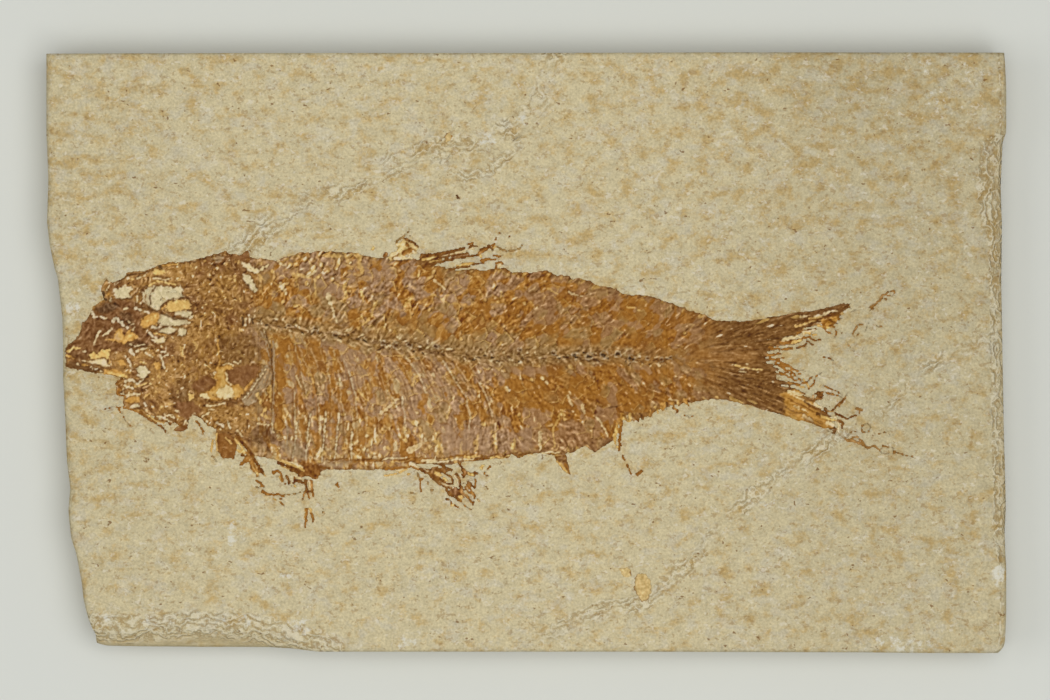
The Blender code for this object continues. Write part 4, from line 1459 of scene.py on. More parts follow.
EDGE_STAINS = """
GREY - -47.4,14.2 -45.6,14.9 -45.2,14.2 -46.4,13.6
UMBER - -40,-10.8 -37.6,-11.4 -36.6,-12.8 -38.6,-13.8 -41.2,-13.2 -41.6,-12
"""
SOCKETS = """
STONE 0.02 -61.9,9.7 -61.2,9.5 -60.4,10 -59.2,9.9 -58.8,9.4 -59.6,9 -59.2,8.3 -60.2,8.1 -61.5,8.2 -61.8,9
0 -57.5,9 -56.7,9.7 -55.8,10 -54.2,10 -53,9.7 -51.8,9.9 -51.4,9.4 -51.6,8.8 -51.1,8.3 -52,8.1 -53.8,7.9 -54.4,7.4
 -54.8,6.7 -55.4,6.2 -56.6,6.8 -57.4,7.6
0.06 -52.8,6.2 -51.4,6.3 -50.3,6.1 -50.1,5.2 -51.2,5.2 -52.6,5.8
0.04 -55.2,5.4 -54.1,5.9 -52.8,5.2 -51.2,4.9 -50.5,4.5 -51.2,4.2 -53,3.9 -54.6,4.1 -55.3,4.7
0.06 -52.2,3.4 -51.7,3.9 -51.1,3.6 -50.9,2.9 -51.5,2.2 -52.1,2.5
0.08 -54.8,3.6 -53.4,3.9 -52.4,3.5 -53.2,2.8 -54.3,2.8 -55,3.1
CREAM 0.1 -56.2,1.9 -54.6,2.3 -53.9,1.9 -54.4,1.4 -55.6,1.5
STONE 0.05 -58.5,-2.4 -57.8,-1.9 -57,-2.1 -56.5,-2.8 -56.7,-3.4 -57.5,-3.9 -58.2,-3.5 -58.1,-3
CREAM 0.05 -66.8,-1.2 -65,-1.2 -63.6,-0.9 -62.8,-1.1 -62.8,-1.8 -61.8,-2.2 -63.5,-2 -65.4,-1.6
STONE 0.04 -59.7,-8.3 -59.2,-7.8 -58.2,-7.6 -58,-8.1 -59,-8.4
CREAM 0.06 -54.4,-9.2 -53.6,-9.2 -52.7,-9.6 -52.8,-10.2 -53.6,-9.9
STONE 0.02 -42.4,11.7 -41.6,11.7 -40.7,10.4 -40.3,9.3 -40.8,8.9 -41.7,9.9 -42.2,10.8
CREAM 0.05 -42.6,13.5 -41.5,13.2 -40.2,12.5 -38.6,13.2 -38.9,12.6 -40.4,11.8 -41.5,12.2 -42.4,12.9
STONE 0.05 -62.6,7.9 -62.2,8 -62.1,7.5 -62.5,7.5
"""
AMBER_BONES = """
GOLD 0.2 -53.8,7.5 -52.3,7.9 -50.8,7.9 -50.4,7.3 -50.2,6.5 -51.5,6.2 -53,6.1 -54.1,6.3 -53.8,7
OCHRE 0.36 -57.8,4.6 -57.4,5.3 -56.4,5.9 -55.1,6 -54.9,5.4 -55.6,4.3 -56.6,4 -57.3,3.5 -57.6,4
0.42 -63,1.9 -61.8,2.2 -61.5,3.2 -61,3.7 -60.5,3.3 -60.2,2.4 -59.6,3.2 -59,3 -57.9,2.1 -59.2,1.8 -60.3,1.3 -61.4,1.6
GOLD 0.36 -56.1,12.2 -55.6,12.6 -54.3,12.4 -54,11.8 -55.8,11.5
0.2 -65.6,-0.4 -64.8,0.1 -64.1,-0.3 -63.8,0.4 -62.5,0.6 -62.4,-0.3 -62.8,-1 -63.4,-0.7 -65.2,-1.1
OCHRE 0.2 -60.3,-7.1 -59.2,-6.6 -57.9,-6.7 -58,-7.4 -59.2,-7.6 -60.1,-7.5
0.3 -61.4,-1.2 -60.4,-1 -60,-1.8 -60.8,-2
0.34 -55.8,-1.4 -54.8,-1.5 -54.6,-2.3 -55.6,-2.5
GOLD 0.3 -50.7,-6.3 -49.9,-6.2 -49.8,-6.9 -50.5,-7.2
OCHRE 0.46 -46.4,-2 -45.2,-2.1 -44.4,-1.8 -43.8,-1.9 -44,-2.4 -44.9,-2.7 -44.9,-3.6 -44.6,-4.4 -44.1,-4.9 -43.2,-4.8
 -42.8,-5.3 -42.2,-5.6 -42.8,-6.6 -43.4,-7.1 -44,-6.8 -46.9,-7.2 -48.1,-6.9 -48.9,-6.4 -48.7,-6 -47.8,-6 -47.1,-5.5
 -46.6,-4.9 -46.3,-4.1 -46.8,-3.7 -46.4,-2.9
"""
PALE_BONES = """
CREAM - -45.9,-5.3 -44.7,-4.9 -44.2,-5.2 -43.9,-5.9 -43.8,-6.8 -44.8,-6.9 -46,-6.8 -46.4,-6.1 -46.1,-5.6
- -48.9,-6.4 -48.6,-6.1 -47.7,-6.2 -47.6,-6.9 -48.2,-6.9
TAN - -61.7,2.1 -61.3,2.9 -60.9,2.2 -61,1.7
"""
SHOULDER_FIBRES = """
BROWN 0.14 -38.9,-2.4 -40.2,-4.8 -42,-7.2
CREAM 0.16 -39.1,-2.5 -40.6,-4.9 -42.4,-7
TAN 0.14 -38.6,-2.4 -39.4,-4.6 -41.2,-7.2
BROWN 0.12 -38.4,-2.6 -39,-4.8 -40.6,-7
TAN 0.14 -38.3,-3 -38.6,-4.6 -39.6,-6.2
OCHRE 0.3 -41,-4.2 -42,-5.4 -43,-6.6
GREY 0.22 -39.8,3.2 -39,1.6 -38.5,-0.6 -38.2,-2.2
CREAM 0.2 -39.4,3.4 -38.7,1.8 -38.2,0
UMBER 0.2 -39.1,3 -38.4,1 -38,-1.6
GREY 0.26 -37.9,1.6 -37.8,-3 -37.9,-8.4 -38.2,-12
UMBER 0.2 -38.2,0.6 -38,-4 -38.2,-9.6
CREAM 0.2 -38.2,-10.6 -37.8,-12
GREY 0.3 -36,-10.2 -35.7,-12.2 -35.9,-14.2
GOLD 0.6 -40.2,-6.2 -39.8,-7.6
0.4 -39,-8.2 -39.6,-9.4
"""
JAW_SPLINTERS = """
OCHRE 0.3 -66.5,-1.8 -65.8,-2
CREAM 0.26 -67.3,-1.7 -67,-1.9
0.26 -65.3,-2.3 -65,-2.5
WHITE 0.3 -64.6,-2.5 -64.3,-2.5
CREAM 0.26 -63.8,-2.8 -63.5,-2.8
GOLD 0.4 -68.6,0.2 -67.8,0.6 -66.8,0.7
OCHRE 0.3 -69,-0.3 -68.3,-0.6 -67.8,-1
UMBER 0.16 -66.8,-1.4 -65.6,-1.7 -63.8,-2.1 -62.1,-2.7
CREAM 0.3 -66.3,0.2 -66.1,0.1
OCHRE 0.24 -65.7,6.2 -64.9,7.3 -63.4,7.8
"""
HEAD_STRUTS = """
UMBER 0.62 -58.7,7.4 -57,6.7 -56.2,6.3
0.34 -56.4,6.4 -55,6 -53.6,5.5 -52.8,5 -51.3,5
0.28 -55.5,9.8 -56.3,9 -56.5,8.2 -56.4,7.2 -56.6,6.7
BROWN 0.16 -57,8.7 -57.2,7.9 -56.8,7.1
UMBER 0.4 -57,9.9 -57.8,9.2 -58,7.9
0.3 -57.8,9.9 -58.4,9.1 -59.2,8.2
TAN 0.22 -58.2,9.6 -58.8,8.8 -59.3,8.6
CREAM 0.24 -58.4,8.4 -58.3,7.6
UMBER 0.26 -54.8,6.8 -54.2,7.4 -53.7,7.6
OCHRE 0.26 -54.6,6.5 -54.1,7
UMBER 0.24 -51.8,8.2 -51,8.3 -50.6,8
0.22 -55.8,11.3 -54.6,11.3 -53.4,11.1
CREAM 0.22 -55.9,11.1 -54,10.9 -53.2,11.1
0.26 -58.3,11.1 -57.3,11.6 -57,11.9
GOLD 0.28 -56.4,10 -55.4,10.7 -54,10.5 -52.6,10.1
CREAM 0.24 -61.7,10.3 -60.8,10.5
0.26 -62.9,9.4 -62.5,10.1
BLACK 0.5 -63.3,9 -63.4,8.2 -62.9,7.9
OCHRE 0.28 -62.8,8.6 -62.4,8.9
WHITE 0.36 -58.7,6.7 -57.6,6.3 -56.5,5.9
0.46 -65.1,6 -64.6,5.2
0.26 -64.9,5.3 -64.3,5.3
CREAM 0.3 -63.7,5.3 -62.9,5.1
WHITE 0.44 -61.9,4.7 -61.4,5.1 -60.7,4.6 -60.2,3.9 -59.7,3.7
CREAM 0.36 -62.1,3.5 -62.7,3 -63.3,2.6
0.36 -64,3.1 -64.4,2.2 -64.7,1.3
0.3 -60.3,6.5 -59.7,6.6
0.24 -59.7,4.7 -59.3,4.4
0.28 -59,3.4 -58.6,3.8
0.24 -59.2,4.2 -58.8,4.3
0.2 -59.4,1.3 -58.5,0.9 -57.2,1.3
OCHRE 0.3 -59.9,2.8 -59.2,3.4
WHITE 0.42 -56,3.9 -55.4,3.7 -55,3.9
0.4 -56.4,2.9 -56,2.4 -55.6,2.2
OCHRE 0.26 -55.9,2.9 -55,2.8 -54,2.6
CREAM 0.24 -57.6,0.4 -56.4,0.8
UMBER 0.2 -53.9,3.9 -55,3.6 -56,3
0.26 -52.4,3.2 -53.2,2.4 -54,1.9
CREAM 0.28 -51,4.3 -50.4,4.4
0.26 -50.4,5.2 -49.9,5.5
WHITE 0.5 -59.3,0.3 -58.8,-0.2
CREAM 0.3 -58.4,0.3 -57.3,0.6
WHITE 0.32 -59.8,-0.9 -59.4,-1.5 -59.1,-2.4
CREAM 0.26 -57,-0.1 -56,-0.7
STONE 0.26 -54.6,0.1 -53.9,0.2 -53.6,-0.3 -54.2,-0.5
0.26 -54.7,-0.5 -54.4,-1.4 -54.2,-2.5
GOLD 0.22 -57.8,-1.4 -57,-1.6
0.3 -58,-5 -57,-4.6 -56.2,-4.8
TAN 0.2 -57.4,-5.3 -56.6,-5 -55.9,-5.3
UMBER 0.26 -58,-4.3 -56.6,-4.3
STONE 0.36 -60,-4.4 -59,-4.1 -58.3,-4.6 -57.4,-4.1
UMBER 0.24 -61.6,-3.7 -60.6,-3.7 -60,-4
0.22 -61.4,-5.6 -60.8,-4.9
CREAM 0.3 -60.4,-5.3 -60.4,-6.2
TAN 0.2 -61,-5.3 -60.6,-4.8
UMBER 0.24 -60.8,-6 -59.6,-5.2 -58.2,-5.6
CREAM 0.42 -60.1,-6.5 -59,-6.2 -58,-6.3
UMBER 0.28 -60.6,-8.5 -59,-8.5 -57.7,-8.3
CREAM 0.3 -52.5,-8.7 -51.9,-8.9
UMBER 0.24 -57.4,-7 -56.6,-8.4 -55.6,-9.3
TAN 0.28 -57.2,-8.4 -56.4,-9.2
WHITE 0.26 -57.3,-7.6 -57,-8
CREAM 0.22 -51.4,-10.9 -51,-10.2 -50.6,-10.8
0.26 -50.2,-9.8 -49.6,-9.2
OCHRE 0.3 -46.2,1.8 -46.1,0 -45.9,-1.8
CREAM 0.22 -45,-3 -44.8,-4.2 -44.2,-5
0.22 -45.4,-1.9 -44.7,-1.6 -44,-1.9
0.26 -43.7,-1.3 -43.2,-1.6 -42.8,-1.3
RUST 0.24 -46.9,-6.4 -46.4,-6.7
UMBER 0.24 -48,-7.4 -46.4,-7.5 -44.4,-7.3 -42,-8.1
CREAM 0.26 -47.8,-7.9 -46.2,-8 -45,-7.5
0.26 -47.6,-8.6 -46.8,-8.5
0.3 -48.4,-9.6 -47.6,-9
WHITE 0.3 -46.4,-10.4 -45.6,-10.8 -45.4,-11.2
STONE 0.3 -44.8,-10.4 -44.4,-11.4
CREAM 0.3 -43.2,-11.7 -42.6,-12.6
0.28 -40.2,-10.6 -38.6,-10.9
GOLD 0.3 -45,-12.8 -44.2,-13.6
0.36 -46.4,-12.2 -46.6,-13.6 -46.4,-14.6
UMBER 0.26 -43.6,-12 -42.4,-13.8
BLACK 0.3 -42.5,5.2 -42.4,4
CREAM 0.24 -42.1,5 -42,3.9
BLACK 0.24 -41.2,5.2 -41,4.4
CREAM 0.22 -41.6,5.6 -41.5,4.4
UMBER 0.26 -49,13.9 -52,13.3 -54.6,13.2
0.26 -56,12.4 -57.4,11.9 -59.6,11.6 -61.6,10.3
0.26 -49,14 -46,14.7
OCHRE 0.3 -54.4,13.1 -52.4,13.2
BLACK 0.5 -55,12.9 -54.6,12.7
"""
TAIL_STREAKS = """
RUST 0.3 39.4,-7 42.5,-8.6 45.4,-10.2
BROWN 0.25 38.8,-8.2 41.5,-9.3 44.5,-10.7
CREAM 0.3 39.8,-6.2 41.6,-7.2 43.6,-8
0.35 40.2,-8 42.2,-9
0.4 41.5,-9.6 43,-10.2
UMBER 0.5 43.6,-9.2 46.2,-10.4 46.3,-12
0.45 41.8,-7.4 44.6,-9
CREAM 0.42 43.4,5.4 46.6,6.3
GOLD 0.4 42.6,5 44.6,5.5
0.35 40.4,3.9 43.4,4.8
CREAM 0.25 41,5.2 42.6,5.6
UMBER 0.55 40.5,6.1 48.4,7.5
RUST 0.3 42,4.6 47.4,6
GOLD 0.2 31.4,-2 33.6,-2.4 35.6,-2.6
CREAM 0.26 32,-2.9 32.9,-2.9
0.3 33,-1.6 33.3,-1.6
"""
TRUNK_FLAKES = """
GOLD 0.4 -40.3,11.8 -39.4,10.8
CREAM 0.55 -36.8,10.2 -36,8.8
GOLD 0.8 -34.8,11.8 -32.6,11.4
CREAM 0.5 -33,11.6 -31.4,12.2
GOLD 0.35 -31.6,11.4 -31.4,8.4
CREAM 0.5 -29.6,8.8 -28.8,6.2 -28.4,4.6
GOLD 0.6 -27,9 -27,7.6
0.5 -24.8,9 -24.2,7.6
0.45 -22.4,7.6 -23.2,5.4 -25.4,3.4
0.6 -27.4,15.2 -26.8,13.4
0.9 -25.4,15 -24.6,12.2
0.7 -30,14.6 -28,14.4
CREAM 0.5 -37.2,13.8 -36.2,13
GOLD 0.4 -18.2,7.2 -16.8,8.6
0.35 -14.2,8.6 -12.6,8 -11.6,8.6
CREAM 0.4 -13.6,10.8 -12.2,9.6
GOLD 0.3 -3.6,9 -4.2,7.6
0.4 3.2,9.4 4.6,9
CREAM 0.35 6.4,9 8.6,8.6
GOLD 0.3 15.2,6.8 17.4,6.4
0.5 5.3,-8.6 6,-10
CREAM 0.35 6.4,-6.4 6.8,-8
0.7 8.4,-8.2 8.8,-8.9
WHITE 0.5 -2.8,-5.4 -2.5,-5.6
CREAM 0.5 3.1,-4.4 3.4,-4.6
GOLD 0.45 5,-9.4 4,-11.6 4.2,-14.2
CREAM 1.1 -17.4,-14.6 -16,-13.8
GOLD 0.9 -13.4,-13.4 -12.6,-14.6
0.4 -9.6,-13.4 -9.8,-15.2
0.4 -7.2,-12.6 -7.6,-15
0.45 -4.6,-12.4 -4.4,-15
0.6 -2,-14.2 -1.6,-13
CREAM 0.5 2,-12 2.2,-14.6
0.3 10.4,-9.6 12.4,-12.6
GOLD 0.45 -17.2,-4.8 -16.4,-3.4
0.4 -25.2,-5.6 -23.8,-7.2
CREAM 0.45 -21.6,-9.2 -19.8,-7.4 -18.6,-6.6
0.35 -34.4,-3.6 -33.8,-5.2
GOLD 0.4 -32.4,-3.2 -31.8,-4.6
0.5 -38.6,-5.2 -38.2,-7.4
CREAM 0.35 21.4,-6.8 22.6,-7.2
UMBER 0.3 12.4,-8.2 14.4,-7.6
"""


@dataclass
class FossilFish:
    """The pressed fish: its outline, backbone, ribs, scales, head bones and tail rays."""

    sheet: FossilSheet = field(default_factory=lambda: FossilSheet((-70.35, -26.7), (58.6, 18.6)))
    back: Path = xy(
        "-69,-0.8 -68.9,0.6 -68.4,1.5 -67.2,2 -66.5,4 -65.3,5.8 -64.8,6.9 -63.2,7.9 -63.4,8.5 -63.7,10 -62.9,11.2 "
        "-62.6,10.5 -61.7,10.4 -60.2,11.2 -59.8,11.9 -58.5,12.2 -57.3,12.1 -55,13.2 -53.8,13.5 -52,13.5 -49,14.2 "
        "-47.3,14.6 -45.2,15.2 -44.3,14.7 -43,14.7 -41.7,15.4 -41.4,14.5 -40.7,14.1 -37.6,13.8 -36.5,14.3 -33.8,15 "
        "-30,15.2 -26,14.9 -22.6,14.2 -20.5,14.3 -18.3,14.2 -16,13.8 -13,13 -11,12.4 -8,12.5 -6,12.3 -4,12.7 "
        "-3,12.7 -2,12 1.3,12 3,12.3 4.5,11.4 6.5,11.6 7,11 8,11.2 9.8,10.7 10.3,10 12,9.9 13.5,9.6 14.5,8.9 "
        "16.8,8.5 18.5,8.5 21,7.7 22.2,7.1 24.2,6.4 26.5,5.8 28,5 30,4.8 32,4.6"
    )
    tail: Path = xy(
        "34,4.9 36,5.1 38,5.5 40,5.9 43,6.2 45,6.7 47,7.1 48.7,7.5 49,6.8 48.6,6.3 47.4,5.9 46.8,4.9 46,4 44.6,4.2 "
        "43.6,4 42.4,3.2 41.2,2.7 40.6,1.6 40.2,0.9 39.4,0.7 38.4,1 37,0.6 36.4,0 37,-0.5 36.6,-1.3 37.4,-1.9 "
        "38,-2.6 37.6,-3.4 39,-4.4 40,-5.4 41.3,-5.5 42,-6.6 43.2,-6.9 43.6,-8 45.3,-8.9 46,-9.8 46.5,-11 46.3,-12.1"
    )
    belly: Path = xy(
        "45,-11.5 44,-11 41,-10.3 39.5,-9.7 37,-9 34,-8 32,-7.7 30,-7.1 28,-7 26,-7.2 24,-7.6 21.5,-8 20,-8.5 "
        "19,-8.9 18,-9.6 17,-9.9 14.5,-9.5 14,-10.5 13.5,-11.5 13,-13.2 12,-13.9 10.3,-15 8.9,-14 7.5,-14.9 "
        "5.9,-15.2 6.3,-16.8 6.5,-18.3 5.5,-17.4 4.2,-15.6 2.3,-15 0,-15.3 -1,-15.9 -2.2,-15.2 -3,-15.9 -5,-16 "
        "-9,-16.4 -11,-16.9 -17,-16.7 -17.5,-17.3 -20,-17.6 -24,-17.6 -28,-17.6 -30,-17.3 -31.2,-18.3 -32,-18.9 "
        "-33.5,-17.9 -36,-16.7 -38,-16.1 -40,-15.6 -41.5,-15 -42.5,-13.9 -43.4,-13.8 -43.8,-15.8 -45.4,-15.9 "
        "-46.6,-14.4 -46.4,-11.5 -47.8,-11 -48.5,-10 -50,-9.5 -50.9,-11.5 -51.8,-12 -52.8,-11.7 -52,-10.8 "
        "-54.5,-9.7 -57,-9.3 -59,-8.7 -60.3,-8.4 -60.5,-7.5 -60.3,-6.3 -61.2,-6 -61.5,-5.3 -61.3,-4.3 -60.2,-3.9 "
        "-62,-3.4 -64,-3 -66,-2.6 -69,-2 -68.9,-1.4"
    )
    backbone: Path = xy(
        "-46,4.8 -40,4.5 -35,3.8 -30,3 -28,2.7 -24,1.8 -20,1.3 -17.5,1 -14,0.4 -10,-0.2 -6,-0.6 -2,-0.8 4,-0.5 "
        "9.5,-0.4 13.7,-0.4 16,-0.9 20,-1.2 24,-0.8 27,-1 60,-1"
    )
    rng: np.random.Generator = field(default_factory=lambda: np.random.default_rng(2024))

    def paint(self) -> None:
        """Lays the whole film, from the first stain to the last fleck."""
        self._set_fibres()
        self._set_outline()
        self._lay_flesh()
        self._lay_head()
        self._lay_backbone()
        self._lay_ribs()
        self._lay_tail()
        self._lay_margins()
        self._lay_head_bones()
        self._lay_body_flakes()
        self._lay_remnants()
        self._settle()

    def _set_fibres(self) -> None:
        """The direction in which bone and scale fibres run at each place."""
        s = self.sheet
        x, y = s.x, s.y
        above = self.above = y - follow(self.backbone, x)
        upper = np.radians(52.0 - 14.0 * smoothstep(-20.0, 20.0, x))
        lean = np.radians(-50.0 - 36.0 * smoothstep(-2.0, -10.0, above))
        front = smoothstep(6.0, -6.0, x)
        lower = lean * front + np.radians(-40.0) * (1.0 - front)
        rays = np.arctan2(y + 1.0, np.maximum(x - 18.0, 1.0)) * 1.15
        curl = 4.0 * math.pi * s.noise(2.2, 51, 2)
        head = smoothstep(-39.0, -43.0, x + 1.2 * SmoothNoise(3.0, 52).signed(x, y))
        tail = smoothstep(21.0, 29.0, x)
        trunk = (1.0 - head) * (1.0 - tail)
        up = smoothstep(-1.0, 1.5, above)
        spine = np.exp(-((above / 1.2) ** 2)) * trunk * 0.5
        doubled = np.zeros((2, *x.shape))
        for weight, angle in (
            (trunk * up, upper), (trunk * (1 - up), lower), (head, curl), (tail, rays), (spine, 0.15),
            (trunk * 0.35, curl),
        ):
            doubled[0] += weight * np.cos(2.0 * angle)
            doubled[1] += weight * np.sin(2.0 * angle)
        wobble = 0.75 * SmoothNoise(1.6, 53, octaves=2).signed(x, y)
        s.angle = 0.5 * np.arctan2(doubled[1], doubled[0]) + wobble * (1.0 - 0.85 * tail)
        self.head, self.tail_share, self.trunk = head, tail, trunk
        self.fine = s.streaks(61, 0.24, 0.5)
        self.fleck = s.streaks(62, 0.34, 0.9)
        self.strand = s.streaks(63, 0.5, 1.5)
        self.flake = s.streaks(64, 0.6, 1.0, 2.8) + 0.8 * s.crumbs(66, 0.6)
        self.flake /= self.flake.std()
        self.thread = s.streaks(65, 0.26, 3.4, 2.6)

    def _set_outline(self) -> None:
        """Where there is fossil: a ragged edge, more so at the tips of the tail's rays."""
        s = self.sheet
        outline = [*self.back, *self.tail, *self.belly]
        ragged = 0.20 * SmoothNoise(1.3, 55, octaves=2).signed(s.x, s.y) + 0.04 * self.fleck
        inner, _ = distance_to_path(s.x, s.y, self.tail[9:])
        tips = smoothstep(34.0, 36.5, s.x) * smoothstep(1.7, 0.7, inner)
        ragged = ragged + tips * (0.34 * self.thread + 0.16 * self.fleck)
        self.edge = depth_inside(s.x, s.y, outline) + ragged
        crown = 0.30 * (1.0 - np.exp(-np.clip(self.edge, 0.0, None) / 3.0))
        body = 0.10 + crown * (1.0 - 0.65 * self.tail_share)
        s.rise = np.where(self.edge > -0.6, mix(-0.20, body, smoothstep(-0.16, 0.12, self.edge)), BARE)

    def _scales(self) -> list[Array]:
        """The scales, leaning with the fibres: gap to the edge, three random numbers, and place along."""
        s = self.sheet
        shrink = 1.0 + 0.25 * smoothstep(0.0, 25.0, s.x)
        x, y = s.x + 0.45 * s.stray_x, self.above + 0.45 * s.stray_y
        whole = []
        for lean, seed in ((40.0, 41), (-52.0, 42)):
            turn = math.radians(lean)
            u = x * math.cos(turn) + y * math.sin(turn)
            v = -x * math.sin(turn) + y * math.cos(turn)
            gap, own, side = ScaleLattice(seed=seed).at(u * shrink, v * shrink)
            whole.append((gap, own[2], own[3], own[0], side))
        upper = self.above > 0.0
        return [np.where(upper, a, b) for a, b in zip(*whole)]

    def _drawn_out(self, seed: int, pitch: float) -> Array:
        """Makes smooth noise whose patches are longer the way the fibres run.

        Args:
            seed: which noise.
            pitch: how wide a patch is, in millimetres.

        Returns:
            Values from 0 to 1.
        """
        s = self.sheet
        noise = SmoothNoise(pitch, seed, octaves=2)
        turned = []
        for angle, stretch in ((45.0, 1.5), (-80.0, 1.6), (-42.0, 1.6)):
            turn = math.radians(angle)
            along = (s.x * math.cos(turn) + self.above * math.sin(turn)) / stretch
            turned.append(noise.at(along, -s.x * math.sin(turn) + self.above * math.cos(turn)))
        upper = smoothstep(-1.0, 1.0, self.above)
        front = smoothstep(2.0, -8.0, s.x)
        return upper * turned[0] + (1.0 - upper) * (front * turned[1] + (1.0 - front) * turned[2])

    def _lay_flesh(self) -> None:
        """The trunk: scales of orange, mauve and olive, with flecks of gold and cream."""
        s = self.sheet
        x = s.x
        gap, first, second, third, side = self._scales()

        # Which scales are mauve, and which are olive.
        zone = s.noise(6.0, 72, 2)
        mauve = 0.45 + 0.4 * (zone - 0.5)
        mauve += 0.12 * smoothstep(4.0, 8.0, self.above) * smoothstep(20.0, -10.0, x)
        mauve -= 0.35 * np.exp(-(((x - 2.0) / 9.0) ** 2) - (((self.above + 5.0) / 3.0) ** 2))
        mauve -= 0.16 * smoothstep(10.0, 24.0, x)
        mauve += 0.30 * smoothstep(-9.0, -12.0, self.above) * smoothstep(-16.0, -10.0, x)
        caged = smoothstep(0.5, -2.0, self.above) * smoothstep(-8.0, -14.0, x)
        mauve += 0.07 * caged
        olive = 0.18 + 0.20 * np.exp(-(((self.above - 2.0) / 2.6) ** 2)) * smoothstep(24.0, 4.0, x)
        patch = self._drawn_out(73, 1.3)
        choice = 0.5 + 0.34 * (first - 0.5) + 1.15 * (patch - 0.5) + 0.02 * self.strand
        s.tint = np.ones_like(s.tint) * Tone.ORANGE.light
        rust = s.noise(2.2, 74, 2)
        s.wash(Tone.RUST, smoothstep(0.5, 0.85, rust) * 0.8)
        margin = mauve - choice
        mottle = s.noise(0.7, 77, 2)
        share = smoothstep(-0.06, 0.04, margin) * (0.95 - 0.38 * smoothstep(-10.0, 6.0, x))
        s.wash(Tone.MAUVE.light * (0.86 + 0.28 * mottle)[..., None], share)
        vein = np.exp(-(((margin + 0.07) / 0.045) ** 2)) * smoothstep(0.42, 0.62, s.noise(1.3, 78))
        s.wash(Tone.GOLD, vein * (0.22 + 0.30 * caged) * smoothstep(8.0, -2.0, x))
        blot = self._drawn_out(79, 0.75) + 0.012 * s.grit
        s.wash(linear(194, 150, 82), smoothstep(0.61, 0.70, blot) * smoothstep(4.0, -10.0, x) * (0.4 + 0.2 * caged))
        s.wash(Tone.STONE, smoothstep(0.70, 0.80, blot) * caged * 0.6)
        s.wash(Tone.OLIVE, smoothstep(-0.10, 0.12, olive - 0.5 * second - 0.3 * patch) * 0.8)
        rim = smoothstep(0.16, 0.02, gap)
        s.wash(Tone.BROWN, rim * 0.25)
        # Each scale catches the light on one side and falls into shadow on the other.
        crescent = smoothstep(0.30, 0.08, gap + 0.02 * s.grit) * (1.0 - 0.55 * smoothstep(-6.0, 14.0, x))
        lit = crescent * smoothstep(0.0, 0.30, side) * smoothstep(0.35, 0.80, third + 0.04 * self.fleck)
        dim = crescent * smoothstep(-0.05, -0.35, side)
        s.wash(Tone.RUST, dim * 0.45)
        s.wash(Tone.GOLD, lit * 0.55)

        # Gold and cream flecks, thick behind the head and along the back.
        self.flake = mix(self.flake, 0.9 * s.crumbs(67, 0.6), 0.6 * caged * self.trunk)
        gold = 0.22 + 0.78 * np.exp(-(((x + 29.0) / 12.0) ** 2)) * smoothstep(2.0, 8.0, self.above)
        gold += 0.50 * smoothstep(-8.0, -13.0, self.above) * smoothstep(8.0, -6.0, x)
        gold += 0.48 * np.exp(-(((x + 22.0) / 14.0) ** 2)) * smoothstep(-1.0, -4.0, self.above)
        gold -= 0.20 * smoothstep(4.0, 18.0, x)
        gold *= 0.45 + 1.1 * s.noise(2.6, 75)
        start = 2.25 - 1.50 * gold
        shadow = np.roll(self.flake, (-1, 1), axis=(0, 1))
        s.wash(Tone.UMBER, smoothstep(start - 0.3, start + 0.3, shadow) * 0.6)
        s.wash(linear(184, 134, 64), smoothstep(start - 0.7, start + 0.2, self.flake) * 0.4)
        s.scatter(self.flake, start, Tone.TAN, 0.85, 0.6)
        s.scatter(self.flake, start + 0.30, Tone.GOLD, 0.85, 0.8)
        s.scatter(0.7 * self.flake + 0.7 * self.fleck, start + 0.65, Tone.CREAM, 0.9, 0.8)
        s.scatter(self.fleck, 1.8, Tone.TAN, 0.6, 0.7)
        s.scatter(-self.fleck, 1.9, Tone.UMBER, 0.4, 1.0)
        for values, start, tone in (
            (self.thread, 1.1, Tone.TAN), (-self.thread, 1.1, Tone.UMBER), (self.thread, 2.0, Tone.STONE)
        ):
            s.wash(tone, smoothstep(start, start + 0.8, values) * caged * 0.12)
        busy = 0.5 + 1.0 * smoothstep(0.25, 0.75, s.noise(2.4, 76, 2))
        s.texture = busy * (1.0 - 0.24 * smoothstep(-8.0, 12.0, x)) * (1.0 - 0.25 * caged)
        self.relief = (1.0 - 0.6 * caged) * (0.016 * self.strand + 0.014 * self.fleck) + 0.020 * self.flake
        self.relief = self.relief + 0.03 * (lit - dim) + 0.016 * caged * s.crumbs(98, 0.45)
        self.caged = caged

